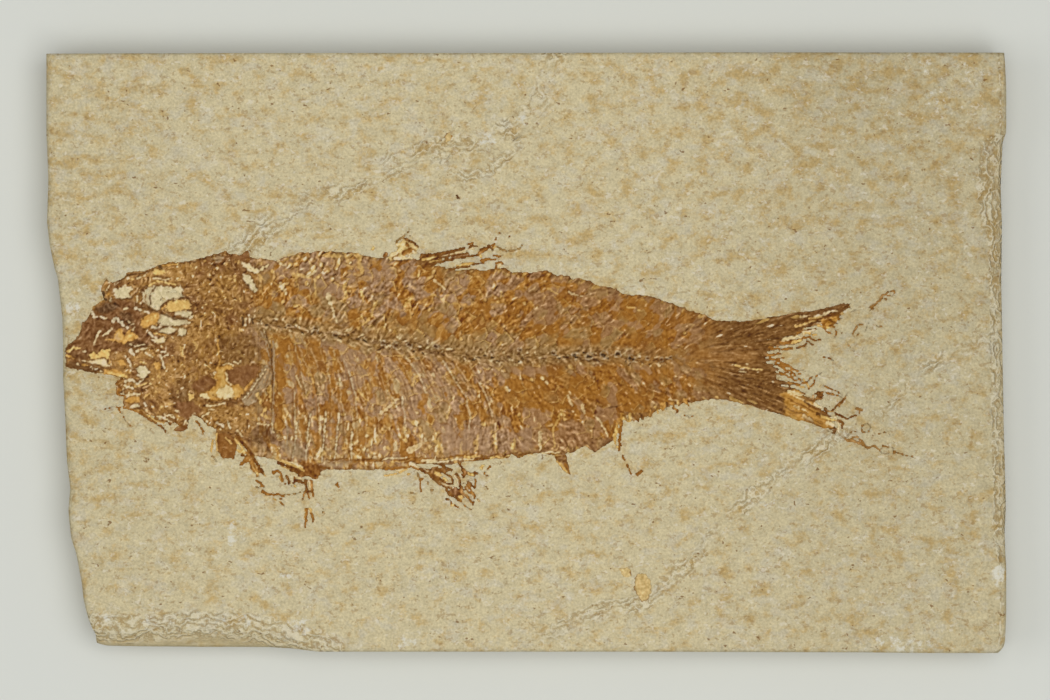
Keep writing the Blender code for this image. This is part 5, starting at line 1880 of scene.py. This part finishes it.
    def _lay_head(self) -> None:
        """The head: curled dark and pale shreds of bone over brown."""
        s = self.sheet
        base = np.ones_like(s.tint) * linear(155, 113, 57)
        base = mix(base, linear(122, 82, 42), smoothstep(0.42, 0.72, s.noise(3.2, 81, 2)))
        base = mix(base, Tone.PLUM.light, smoothstep(0.56, 0.70, s.noise(1.3, 83, 3)) * 0.55)
        base = mix(base, linear(164, 122, 66), smoothstep(0.55, 0.8, s.noise(2.0, 82, 2)) * 0.7)
        here = self.head
        s.wash(base, here)
        bits = s.crumbs(93, 0.42)
        for values, start, tone, strength in (
            (self.flake, 1.5, Tone.TAN, 0.45), (-self.flake, 1.4, Tone.UMBER, 0.3),
            (-self.strand, 1.3, Tone.UMBER, 0.32),
            (bits, 1.0, Tone.OCHRE, 0.42), (-bits, 1.0, Tone.EMBER, 0.42),
            (self.fine, 1.5, Tone.TAN, 0.5), (-self.fine, 1.4, Tone.UMBER, 0.5),
            (0.8 * self.strand + 0.5 * bits, 1.45, Tone.GOLD, 0.55),
            (0.8 * bits + 0.7 * self.fleck, 1.95, Tone.CREAM, 0.75),
            (-0.7 * bits - 0.7 * self.fleck, 2.1, Tone.BLACK, 0.6),
        ):
            s.wash(tone, smoothstep(start, start + 0.6, values) * strength * here)
        bumps = 0.012 * self.strand + 0.022 * bits + 0.02 * self.flake + 0.02 * self.fleck
        self.relief = mix(self.relief, bumps, here)
        s.texture = mix(s.texture, 1.1, here)

    def _lay_backbone(self) -> None:
        """The backbone: a granular olive band with a dark crease and a row of hollow vertebrae."""
        s = self.sheet
        band = smoothstep(2.0, 0.8, np.abs(self.above - 0.1)) * self.trunk
        band = band * (1.0 - 0.5 * smoothstep(6.0, 20.0, s.x))
        curls = s.crumbs(92, 0.55)
        s.wash(linear(154, 121, 76), band * 0.75)
        s.wash(Tone.CREAM, smoothstep(1.1, 2.4, 0.7 * curls + 0.6 * self.strand) * band * 0.6)
        s.wash(Tone.UMBER, smoothstep(0.8, 2.2, -0.8 * curls - 0.4 * self.strand) * band * 0.7)
        self.relief = self.relief + 0.05 * band * curls + 0.08 * np.exp(-((self.above / 0.9) ** 2)) * self.trunk
        s.texture = np.maximum(s.texture, 1.5 * band)
        crease = [(x, y - 0.2) for x, y in self.backbone if -42.0 < x < 28.0]
        s.draw(crease, 0.3, Tone.UMBER, -0.03, 0.2, 0.4, 0.5)
        for start in np.arange(-41.0, 22.0, 0.62):
            if self.rng.random() < 0.85:
                length = self.rng.uniform(0.2, 0.7)
                level = float(follow(crease, np.array(start))) + self.rng.normal(0.0, 0.45)
                end = (start + length, level + self.rng.uniform(-0.45, 0.35))
                tone = Tone.BLACK if self.rng.random() < 0.42 else Tone.UMBER
                s.draw([(start, level), end], self.rng.uniform(0.15, 0.28), tone, -0.05, 0.3, 0.85, 0.25)
                side = self.rng.choice([-0.36, 0.36])
                light = (start + 0.15, level + side)
                s.draw([light, (end[0], end[1] + side)], 0.2, Tone.CREAM, 0.03, 0.3, 0.4, 0.25)
        hollows = (
            (7.5, -0.6, 1.0), (9.5, -0.5, 0.8), (11.7, -0.4, 1.0), (13.7, -0.3, 0.75), (15.9, -0.9, 0.9),
            (-35.5, 3.9, 0.55), (-31.5, 3.6, 0.6), (-28.5, 2.7, 0.75), (-21.5, 1.4, 0.65), (-19.5, 1.2, 0.8),
            (-17.5, 1.1, 0.6), (-13.5, 0.9, 0.6), (-5.0, 0.1, 0.5), (-1.0, 0.4, 0.5), (4.2, -0.1, 0.6),
            (18.2, -0.9, 0.45), (20.4, -1.1, 0.55), (21.8, -0.8, 0.45),
        )
        for cx, cy, size in hollows:
            reach = 0.62 * size
            ring = [(cx + reach * math.cos(a), cy + reach * math.sin(a)) for a in np.arange(0, 6.3, 0.7)]
            s.draw(ring, 0.22, Tone.GREY, 0.03, 0.0, 0.7, 0.2)
            dark = Tone.BLACK if cx > 6.0 and size > 0.7 else Tone.UMBER
            s.draw([(cx - 0.2 * size, cy), (cx + 0.2 * size, cy - 0.06)], 0.54 * size, dark, -0.04, 0.2, 0.95, 0.2)

    def _lay_ribs(self) -> None:
        """The ribs: pale threads that lean back from the backbone and then hang straight."""
        s = self.sheet
        front = xy("-36.8,1.4 -35.6,-2 -35,-6 -34.8,-11 -35.2,-15")
        rear = xy("-9.5,-1.6 -7.4,-4.4 -5.9,-7.2 -5.2,-9.6 -5,-11")
        count = 17
        for index in range(count):
            share = (index + self.rng.uniform(-0.22, 0.22)) / (count - 1)
            rib = [
                (fx + (rx - fx) * share + self.rng.normal(0, 0.16), fy + (ry - fy) * share)
                for (fx, fy), (rx, ry) in zip(front, rear)
            ]
            # A rib is broken into lengths, some of them lost.
            for part in (rib[0:3], rib[1:4], rib[2:5]):
                if self.rng.random() < 0.28:
                    continue
                strength = self.rng.uniform(0.25, 0.5)
                # Painted shadow: a rust line just on the head side of each pale length.
                dark = [(x - 0.30, y) for x, y in part]
                s.draw(dark, 0.26, Tone.RUST, -0.03, 0.2, strength, 0.16)
                tone = Tone.STONE if self.rng.random() < 0.3 else Tone.TAN
                s.draw(part, 0.22, tone, 0.05, 0.2, 0.9 * strength, 0.16)
            # A finer thread beside it.
            beside = [(x + self.rng.uniform(0.7, 1.1), y - 0.4) for x, y in rib[0:3]]
            s.draw(beside, 0.18, Tone.TAN, 0.04, 0.3, 0.6, 0.14, 0.2)
        for x, low, high in (
            (-32.7, -16.0, -9.2), (-30.3, -16.4, -9.0), (-28.4, -16.3, -9.2), (-34.6, -15.6, -10.5)
        ):
            splint = [(x + 0.35, high), (x, 0.5 * (low + high)), (x - 0.35, low)]
            s.draw(splint, 0.24, Tone.STONE, 0.05, 0.3, 0.7, 0.14, 0.3)
        s.draw(xy("-26,-12 -26.3,-14 -26.1,-16.2"), 0.28, Tone.STONE, 0.05, 0.2, 0.7, 0.14, 0.3)
        # Orange flesh shows between the ribs.
        for x, low, high in ((-36.7, -9.5, 1.6), (-34.2, -8.0, -1.0), (-31.9, -7.0, -1.5), (-29.2, -6.8, -2.4),
                             (-33.4, -13.5, -10.5), (-31.5, -15.5, -12.0), (-28.9, -12.5, -7.5),
                             (-26.9, -8.5, -4.8), (-24.6, -14.5, -12.0), (-20.3, -16.0, -12.0),
                             (-23.0, -3.8, -1.5), (-18.6, -13.0, -10.0), (-15.2, -9.5, -6.5)):
            between = [(x - 0.15, high), (x, 0.5 * (low + high)), (x - 0.2, low)]
            s.draw(between, 0.95, Tone.ORANGE, 0.0, 0.5, 0.8, 0.7)

    def _lay_tail(self) -> None:
        """The tail: fine dark rays in two lobes, gone to gold where the film is thin."""
        s = self.sheet
        x, y = s.x, s.y
        root = smoothstep(22.0, 31.0, x)
        base = np.ones_like(s.tint) * linear(146, 102, 52)
        base = mix(base, linear(156, 116, 72), smoothstep(0.5, 0.75, s.noise(2.0, 101, 2)) * 0.6)
        middle = np.exp(-(((y + 0.7) / 1.5) ** 2)) * smoothstep(36.0, 33.0, x)
        dark = 0.5 * smoothstep(20.0, 25.0, x) + 0.45 * smoothstep(27.0, 32.0, x)
        base = mix(base, linear(113, 75, 32), dark * (1.0 - 0.9 * middle))
        for values, start, tone, strength in (
            (-self.thread, 0.8, linear(92, 58, 24), 0.7), (self.thread, 1.0, linear(156, 114, 66), 0.7),
            (self.thread, 2.0, Tone.TAN.light, 0.6), (self.fleck, 2.2, Tone.CREAM.light, 0.7),
        ):
            base = mix(base, tone, smoothstep(start, start + 0.9, values) * strength * (1.0 - 0.4 * middle))
        s.wash(base, root)
        s.texture = mix(s.texture, 0.85, root)
        self.relief = mix(self.relief, 0.05 * self.thread, root)
        # Bare streaks and gold where the lobes have worn through.
        lower = xy(
            "38,-6.2 39.4,-5.6 41.2,-5.6 42.4,-7 43.6,-7.2 44.2,-9.2 46,-10 45.8,-11.6 43.6,-11.2 40.8,-10.5 "
            "38.6,-9.7 38.9,-8"
        )
        s.lay(lower, Tone.OCHRE, None, 0.45, 0.85, 0.3)
        for tone, width, points in marks(TAIL_STREAKS):
            pale = tone in (Tone.CREAM, Tone.WHITE)
            s.draw(points, width, tone, 0.04, 0.4, 0.65 if pale else 0.85, 0.25)

    def _lay_margins(self) -> None:
        """A thin dark and gold fringe along the fish's edge."""
        s = self.sheet
        fringe = smoothstep(1.1, 0.2, self.edge) * smoothstep(-39.0, -36.0, s.x)
        s.wash(linear(112, 74, 36), fringe * smoothstep(-0.3, 0.9, self.strand) * 0.7)
        s.wash(Tone.GOLD, fringe * smoothstep(0.9, 1.7, -self.strand) * 0.75)
        rim = smoothstep(0.45, 0.1, self.edge)
        s.wash(linear(120, 82, 42), rim * (0.05 + 0.45 * s.noise(1.1, 96)))
        s.wash(Tone.TAN, smoothstep(-0.1, -0.3, self.edge))
        # Belly keel: long dark strands just inside the edge.
        keel = smoothstep(1.3, 0.1, self.edge) * smoothstep(-2.0, -5.0, self.above) * smoothstep(-38.0, -34.0, s.x)
        keel = keel * smoothstep(6.0, 0.0, s.x)
        s.wash(Tone.UMBER, keel * smoothstep(-0.4, 0.8, self.fleck) * 0.35)
        for start in np.arange(-30.0, 3.0, 0.8):
            y0 = -16.6 + 0.03 * (start + 30.0) + self.rng.uniform(-0.35, 0.45)
            strand = [(start, y0), (start + 1.6, y0 + 0.12), (start + 3.2, y0 + 0.3)]
            tone = self.rng.choice([Tone.EMBER, Tone.RAY, Tone.GOLD, Tone.CREAM], p=[0.42, 0.33, 0.17, 0.08])
            s.draw(strand, self.rng.uniform(0.2, 0.4), tone, 0.05, 0.5, 0.85, 0.25)
        # Low, pale stone-filled patches near the belly and throat.
        for outline in (
            xy("-37,-13.6 -35.5,-13.4 -34,-14.2 -32.5,-15.4 -33,-16.2 -35.5,-15.4"),
            xy("-31.5,-16 -29,-16.6 -26,-16.2 -26.4,-16.9 -29.5,-17.2"),
        ):
            s.lay(outline, Tone.GREY, None, 0.4, 0.6, 0.3)

    def _lay_all(self, table: str, rough: float, strength: float, texture: float, crack_shade: float,
                 core: Tone | None = None) -> None:
        """Lays a table of patches in the same manner.

        Args:
            table: each patch's tone, rise and outline.
            rough: how far their edges wander.
            strength: how much of what lies under them is covered.
            texture: how strongly grain shows on them.
            crack_shade: how dark the painted shade in the gaps round them is.
            core: the tone they turn towards in the middle, or None to keep one tone.
        """
        for tone, rise, outline in marks(table):
            self.sheet.lay(outline, tone, rise, rough, strength, 0.12, max(texture, 0.6), 0.7 * crack_shade, core)

    def _draw_all(self, table: str, crack_shade: float, strength: float = 0.9, wander: float = 0.12) -> None:
        """Draws a table of strokes in the same manner.

        Args:
            table: each stroke's tone, width and points.
            crack_shade: how dark the painted shade in the gaps beside them is.
            strength: how much of what lies under them is covered.
            wander: how far they stray from their points.
        """
        for tone, width, line in marks(table):
            strong = strength * (0.78 if tone in (Tone.WHITE, Tone.CREAM) else 0.95)
            self.sheet.draw(line, width, tone, 0.04, 0.35, strong, wander, 0.7 * crack_shade)

    def _lay_head_bones(self) -> None:
        """The head's own bones, sockets and broken edges."""
        s = self.sheet
        # Broad plates: the snout, the gill cover and the cheek.
        snout = xy(
            "-68.8,0.9 -67.2,2.1 -66.5,4.1 -65,6.2 -63,7.8 -60.4,8 -58.2,7.2 -57.8,5.4 -57.4,3.4 -56.2,2 -57,0.8 "
            "-60,0.6 -63,-0.4 -66.6,-1 -69,-0.8"
        )
        s.lay(snout, Tone.PLUM, 0.36, 0.3, 0.92, 0.25, 1.15, 0.3)
        s.lay(snout, Tone.UMBER, None, 0.5, 0.35, 0.5)
        s.lay(xy("-64.6,6.2 -63,7.5 -61.6,7.6 -61,6.8 -62,6 -63.6,5.9"), Tone.BLACK, None, 0.4, 0.6, 0.25)
        s.lay(xy("-60.9,6 -59.6,6 -58.8,5 -58.4,4 -59.8,4 -60.6,5"), Tone.BLACK, None, 0.4, 0.45, 0.25)
        s.lay(xy("-60,1.9 -58.2,1.9 -56.6,1.5 -56.8,0.8 -58.6,0.5 -60.2,1"), Tone.BLACK, None, 0.3, 0.45, 0.2)
        s.lay(xy("-69,-0.8 -67,-1.2 -65.6,-0.9 -65.4,0.1 -66.6,0.2 -68.2,0"), Tone.UMBER, None, 0.2, 0.6, 0.2)
        gill = xy("-46.4,1.8 -45.2,2.8 -43.4,2.9 -41,2.8 -39.9,1.4 -39.6,-0.6 -40.2,-2 -44,-1.8 -45.8,-0.8")
        s.lay(gill, Tone.UMBER, 0.46, 0.4, 0.55, 0.5, 1.0)
        s.lay(xy("-52.4,-4 -49.8,-3.6 -48.8,-6.4 -50,-8 -52,-8.4 -53.6,-6.6"), Tone.UMBER, None, 0.5, 0.4, 0.5)
        s.lay(xy("-51.9,-5.9 -51,-5.7 -50.8,-6.8 -51.5,-7.4 -52.1,-6.9"), Tone.BLACK, None, 0.3, 0.3, 0.3)
        self._lay_all(DARK_PLATES, 0.15, 0.92, 0.4, 0.35)
        self._lay_all(EDGE_STAINS, 0.4, 0.6, 0.9, 0.0)

        # Sockets and gaps, where the rock shows through.
        self._lay_all(SOCKETS, 0.14, 0.97, 0.35, 0.75)

        # Amber bone.
        self._lay_all(AMBER_BONES, 0.12, 0.95, 0.5, 0.5, Tone.GOLD)
        self._lay_all(PALE_BONES, 0.10, 0.9, 0.5, 0.15)

        # Shoulder bone, grey and striated, and the fibres behind it.
        shoulder = xy(
            "-39.2,-1.9 -38.4,-2 -38,-3.6 -38.3,-4.6 -39.6,-6.2 -40.6,-7.4 -41.6,-8.1 -42.5,-7.6 -42.5,-6.8 "
            "-41.2,-5.2 -40.2,-3.8"
        )
        s.lay(shoulder, Tone.GREY, 0.52, 0.10, 0.95, 0.1, 0.7, 0.5)
        self._draw_all(SHOULDER_FIBRES, 0.25)

        # The jaws.
        tip = xy("-69.1,-1.9 -68.3,-1.3 -66.8,-1.5 -65.3,-2 -63.4,-2.4 -63.2,-2.9 -64.6,-3.1 -66.5,-2.7 -69,-2.2")
        s.lay(tip, Tone.UMBER, 0.22, 0.1, 0.95, 0.1, 0.7, 0.3)
        s.lay(xy("-63.3,-2.4 -62,-2.5 -60.4,-2.9 -60.1,-3.5 -61.6,-3.5 -63.2,-3.2"), Tone.OCHRE, 0.18, 0.1,
              0.95, 0.1, 0.5, 0.4)
        self._draw_all(JAW_SPLINTERS, 0.2)

        # Struts, arcs and pale splinters.
        self._draw_all(HEAD_STRUTS, 0.35)

    def _lay_body_flakes(self) -> None:
        """Single flakes that catch the eye on the trunk."""
        s = self.sheet
        for tone, width, points in marks(TRUNK_FLAKES):
            s.draw(points, width, tone, 0.05, 0.45, 0.62, 0.3)
        # Belly scales, taller than they are long, with gold between them.
        for cx in (-11.6, -8.8, -6.2, -3.4, 0.2):
            box = ((cx - 1.0, -11.6), (cx + 0.8, -11.2), (cx + 1.0, -14.6), (cx - 0.9, -15.0))
            s.lay(box, Tone.MAUVE, None, 0.25, 0.7, 0.2)

    def _settle(self) -> None:
        """Adds the last grain, light and dark in equal parts, crisps every edge, and sets the film's height."""
        s = self.sheet
        low = smoothstep(0.0, -4.0, self.above) * self.trunk
        lift = 0.014 - (0.014 + 0.012 * smoothstep(-14.0, 4.0, s.x)) * self.trunk
        lift = lift + 0.036 * self.head * (1.0 - 1.3 * np.exp(-(((s.x + 46.5) / 4.0) ** 2)))
        lift = lift + 0.028 * np.exp(-(((s.x + 16.0) / 15.0) ** 2)) * low
        loose = 0.4 * self.trunk
        crumbly = 1.0 - 0.6 * loose - 0.4 * self.caged
        grain = (0.026 + 0.022 * loose) * s.grit
        grain = grain + crumbly * (0.034 * self.fine + 0.022 * (1.0 - 0.5 * self.head) * self.strand)
        grain = grain + 0.022 * self.caged * s.crumbs(99, 0.36)
        grain = grain + 0.030 * self.fleck + 0.05 * np.clip(self.fleck - 1.0, 0.0, 2.0)
        grain = grain + 0.024 * loose * s.crumbs(97, 0.5)
        grain = np.clip(grain * s.texture, -0.19, 0.22)
        drift = s.noise(0.9, 95, 2) - 0.5
        display = to_display(s.tint) + (0.09 * drift)[..., None] * np.array([1.0, 0.95, 0.75])
        bright = display.mean(axis=2)
        crisp = 0.75 * (bright - soften(bright, 1.3)) + 0.14 * (bright - soften(bright, 3.0))
        crisp = 0.08 * np.tanh(crisp / 0.08)
        display = display + (grain + crisp + lift)[..., None] + np.array([0.0, -0.008, -0.022])
        s.tint = to_light(np.clip(display, (0.19, 0.11, 0.03), (0.88, 0.81, 0.68)))
        s.rise = np.where(self.edge > -0.05, np.maximum(s.rise + self.relief * s.texture, 0.0), s.rise)

    def _lay_remnants(self) -> None:
        """What is left of the fins, and the splinters round the fish, on bare rock."""
        s = self.sheet
        for tone, rise, outline in marks(FIN_PLATES):
            s.lay(outline, tone, rise, 0.18, 1.0, texture=1.2)
        for tone, width, ray in marks(FIN_RAYS):
            if ray[0][0] > TRACES_FROM:
                s.draw(ray, 0.9 * width, Tone.TRACE, 0.03, 0.3, 0.8, 0.10, top=0.17)
            else:
                s.draw(ray, 1.15 * width, tone, 0.03, 0.3, 0.95, 0.10, top=0.17)
        # The frayed lower edge in front of the tail.
        for x in np.arange(13.6, 24.0, 0.42):
            y = float(follow(self.belly[::-1], np.array(x)))
            tone = self.rng.choice([Tone.UMBER, Tone.BROWN, Tone.OCHRE, Tone.GOLD])
            end = (x + self.rng.normal(0.1, 0.3), y - self.rng.uniform(0.1, 0.6))
            s.draw(((x, y + 0.5), end), self.rng.uniform(0.2, 0.4), tone, 0.02, 0.5, 0.8, 0.2, top=0.14)

    def pieces(self) -> list[bpy.types.Object]:
        """Head, front and rear trunk, and tail, as closed meshes."""
        joints = (-70.5, -40.05, -9.0, 21.0, 58.7)
        names = ("fish_head", "fish_trunk_front", "fish_trunk_rear", "fish_tail")
        return [self.sheet.cut(n, a, b) for n, a, b in zip(names, joints, joints[1:])]


# ---- Loose flakes on the rock ----


@dataclass
class LooseFlakes:
    """The stray scale and the crumbs of bone that lie away from the fish."""

    def stray_scale(self) -> bpy.types.Object:
        """The amber scale at the lower right, with its brown rim and growth rings."""
        sheet = FossilSheet((12.9, -38.4), (19.9, -31.5), 0.1)
        whole = xy("16.2,-34 16.9,-33 18,-33.1 18.7,-34.2 18.8,-35.8 18.3,-37.1 17.4,-37.5 16.6,-36.5 16.2,-35.2")
        crumb = xy("13.9,-32.3 15,-32.1 15.9,-32.6 15.9,-33.6 14.8,-33.9 14.2,-33.2")
        for outline, tone, rise in ((whole, Tone.AMBER, 0.14), (crumb, Tone.AMBER, 0.09)):
            sheet.lay(outline, tone, rise, 0.10, 1.0)
        depth = depth_inside(sheet.x, sheet.y, whole)
        rings = 0.5 + 0.5 * np.cos(depth * 9.0 + SmoothNoise(0.8, 6).signed(sheet.x, sheet.y))
        sheet.wash(linear(196, 160, 98), rings * smoothstep(0.0, 0.3, depth) * 0.5)
        rim = smoothstep(0.28, 0.05, np.abs(depth)) * smoothstep(0.6, -0.6, sheet.x - 17.6 + 0.6 * (sheet.y + 35.0))
        sheet.wash(Tone.BROWN, rim * 0.8)
        sheet.draw(xy("15.7,-33 16,-33.4"), 0.32, Tone.BROWN, 0.02, 0.2)
        sheet.rise = np.where(sheet.rise < BARE + 0.05, BARE, sheet.rise + 0.02 * rings * (depth > 0))
        sheet.roughen(0.045)
        return sheet.cut("stray_amber_scale", 12.9, 19.9)

    def crumbs(self) -> bpy.types.Object:
        """Crumbs of orange bone near the upper seam."""
        sheet = FossilSheet((-13.4, 22.1), (-8.9, 33.9), 0.12)
        for outline, tone in (
            (xy("-12.4,32.3 -12,33 -11.3,33.1 -10.9,32.4 -11.2,31.6 -12,31.6"), Tone.AMBER),
            (xy("-10.7,23.6 -10,23.5 -10,22.9 -10.5,22.8"), Tone.UMBER),
        ):
            sheet.lay(outline, tone, 0.12, 0.2, 1.0)
        sheet.draw(xy("-12.2,31.9 -12.2,32.6 -11.7,33.1"), 0.35, Tone.RUST, 0.02)
        sheet.draw(xy("-11.1,32.7 -11.1,31.9"), 0.3, Tone.ORANGE, 0.02)
        sheet.roughen(0.05)
        return sheet.cut("bone_crumbs", -13.4, -8.9)


# ---- Studio ----


@dataclass
class Studio:
    """A pale table, a soft lamp and a camera that looks straight down."""

    distance: float = 0.90
    view_width: float = 157.5 * MM
    view_centre: tuple[float, float] = (-0.15 * MM, 0.375 * MM)

    def build(self) -> None:
        """Sets the table, the lamps, the sky and the camera."""
        self._table()
        self._lamps()
        self._camera()
        bpy.context.scene.view_settings.view_transform = "Standard"

    def _table(self) -> None:
        """The table that the slab lies on."""
        bpy.ops.mesh.primitive_grid_add(x_subdivisions=24, y_subdivisions=24, size=1.6)
        table = bpy.context.object
        table.name = "pale_table_top"
        table.data.materials.append(TableFinish().build())

    def _lamps(self) -> None:
        """An even sky, a window light from the left and a soft box overhead."""
        world = bpy.data.worlds.new("studio_sky")
        bpy.context.scene.world = world
        world.use_nodes = True
        sky = world.node_tree.nodes["Background"]
        sky.inputs["Color"].default_value = (1.0, 1.0, 1.0, 1.0)
        sky.inputs["Strength"].default_value = 0.30
        for name, spot, size, power in (
            ("window_light", (-0.62, -0.05, 0.80), 0.5, 1.5),
            ("soft_box", (0.20, -0.10, 1.35), 1.0, 12.3),
        ):
            lamp = bpy.data.lights.new(name, "AREA")
            lamp.energy = power
            lamp.size = size
            obj = bpy.data.objects.new(name, lamp)
            bpy.context.scene.collection.objects.link(obj)
            obj.location = spot
            aim = -np.array(spot) / np.linalg.norm(spot)
            pitch = math.acos(-aim[2])
            obj.rotation_euler = (pitch, 0.0, math.atan2(-aim[0], aim[1]))

    def _camera(self) -> None:
        """The camera over the slab's middle, looking straight down."""
        data = bpy.data.cameras.new("overhead_camera")
        data.sensor_width = 36.0
        data.lens = data.sensor_width * self.distance / self.view_width
        data.clip_start = 0.01
        camera = bpy.data.objects.new("overhead_camera", data)
        bpy.context.scene.collection.objects.link(camera)
        camera.location = (*self.view_centre, FACE_Z * MM + self.distance)
        bpy.context.scene.camera = camera


# ---- Assembly ----


def main() -> None:
    """Builds the specimen in order: studio, slab, fish and loose flakes."""
    logging.basicConfig(level=logging.INFO, format="%(message)s")
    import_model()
    effects = SharedEffects()
    Studio().build()

    slab = LimestoneSlab()
    piece = slab.dress(slab.build(), LimestoneFinish(effects))
    LOG.info("%s: %d faces", piece.name, len(piece.data.polygons))

    film = FossilFilmFinish(effects).build()
    fish = FossilFish()
    fish.paint()
    for piece in fish.pieces():
        piece.data.materials.append(film)
        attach(piece, ROOT)
        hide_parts("fossil_fish")
        LOG.info("%s: %d faces", piece.name, len(piece.data.polygons))

    flakes = LooseFlakes()
    for piece, node, slot in (
        (flakes.stray_scale(), "stray_scale", "fossil_scale"),
        (flakes.crumbs(), "fossil_fish", "fossil_bone"),
    ):
        piece.data.materials.append(film)
        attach(piece, ROOT)
        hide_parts(node)
        LOG.info("%s: %d faces", piece.name, len(piece.data.polygons))


if __name__ == "__main__":
    main()
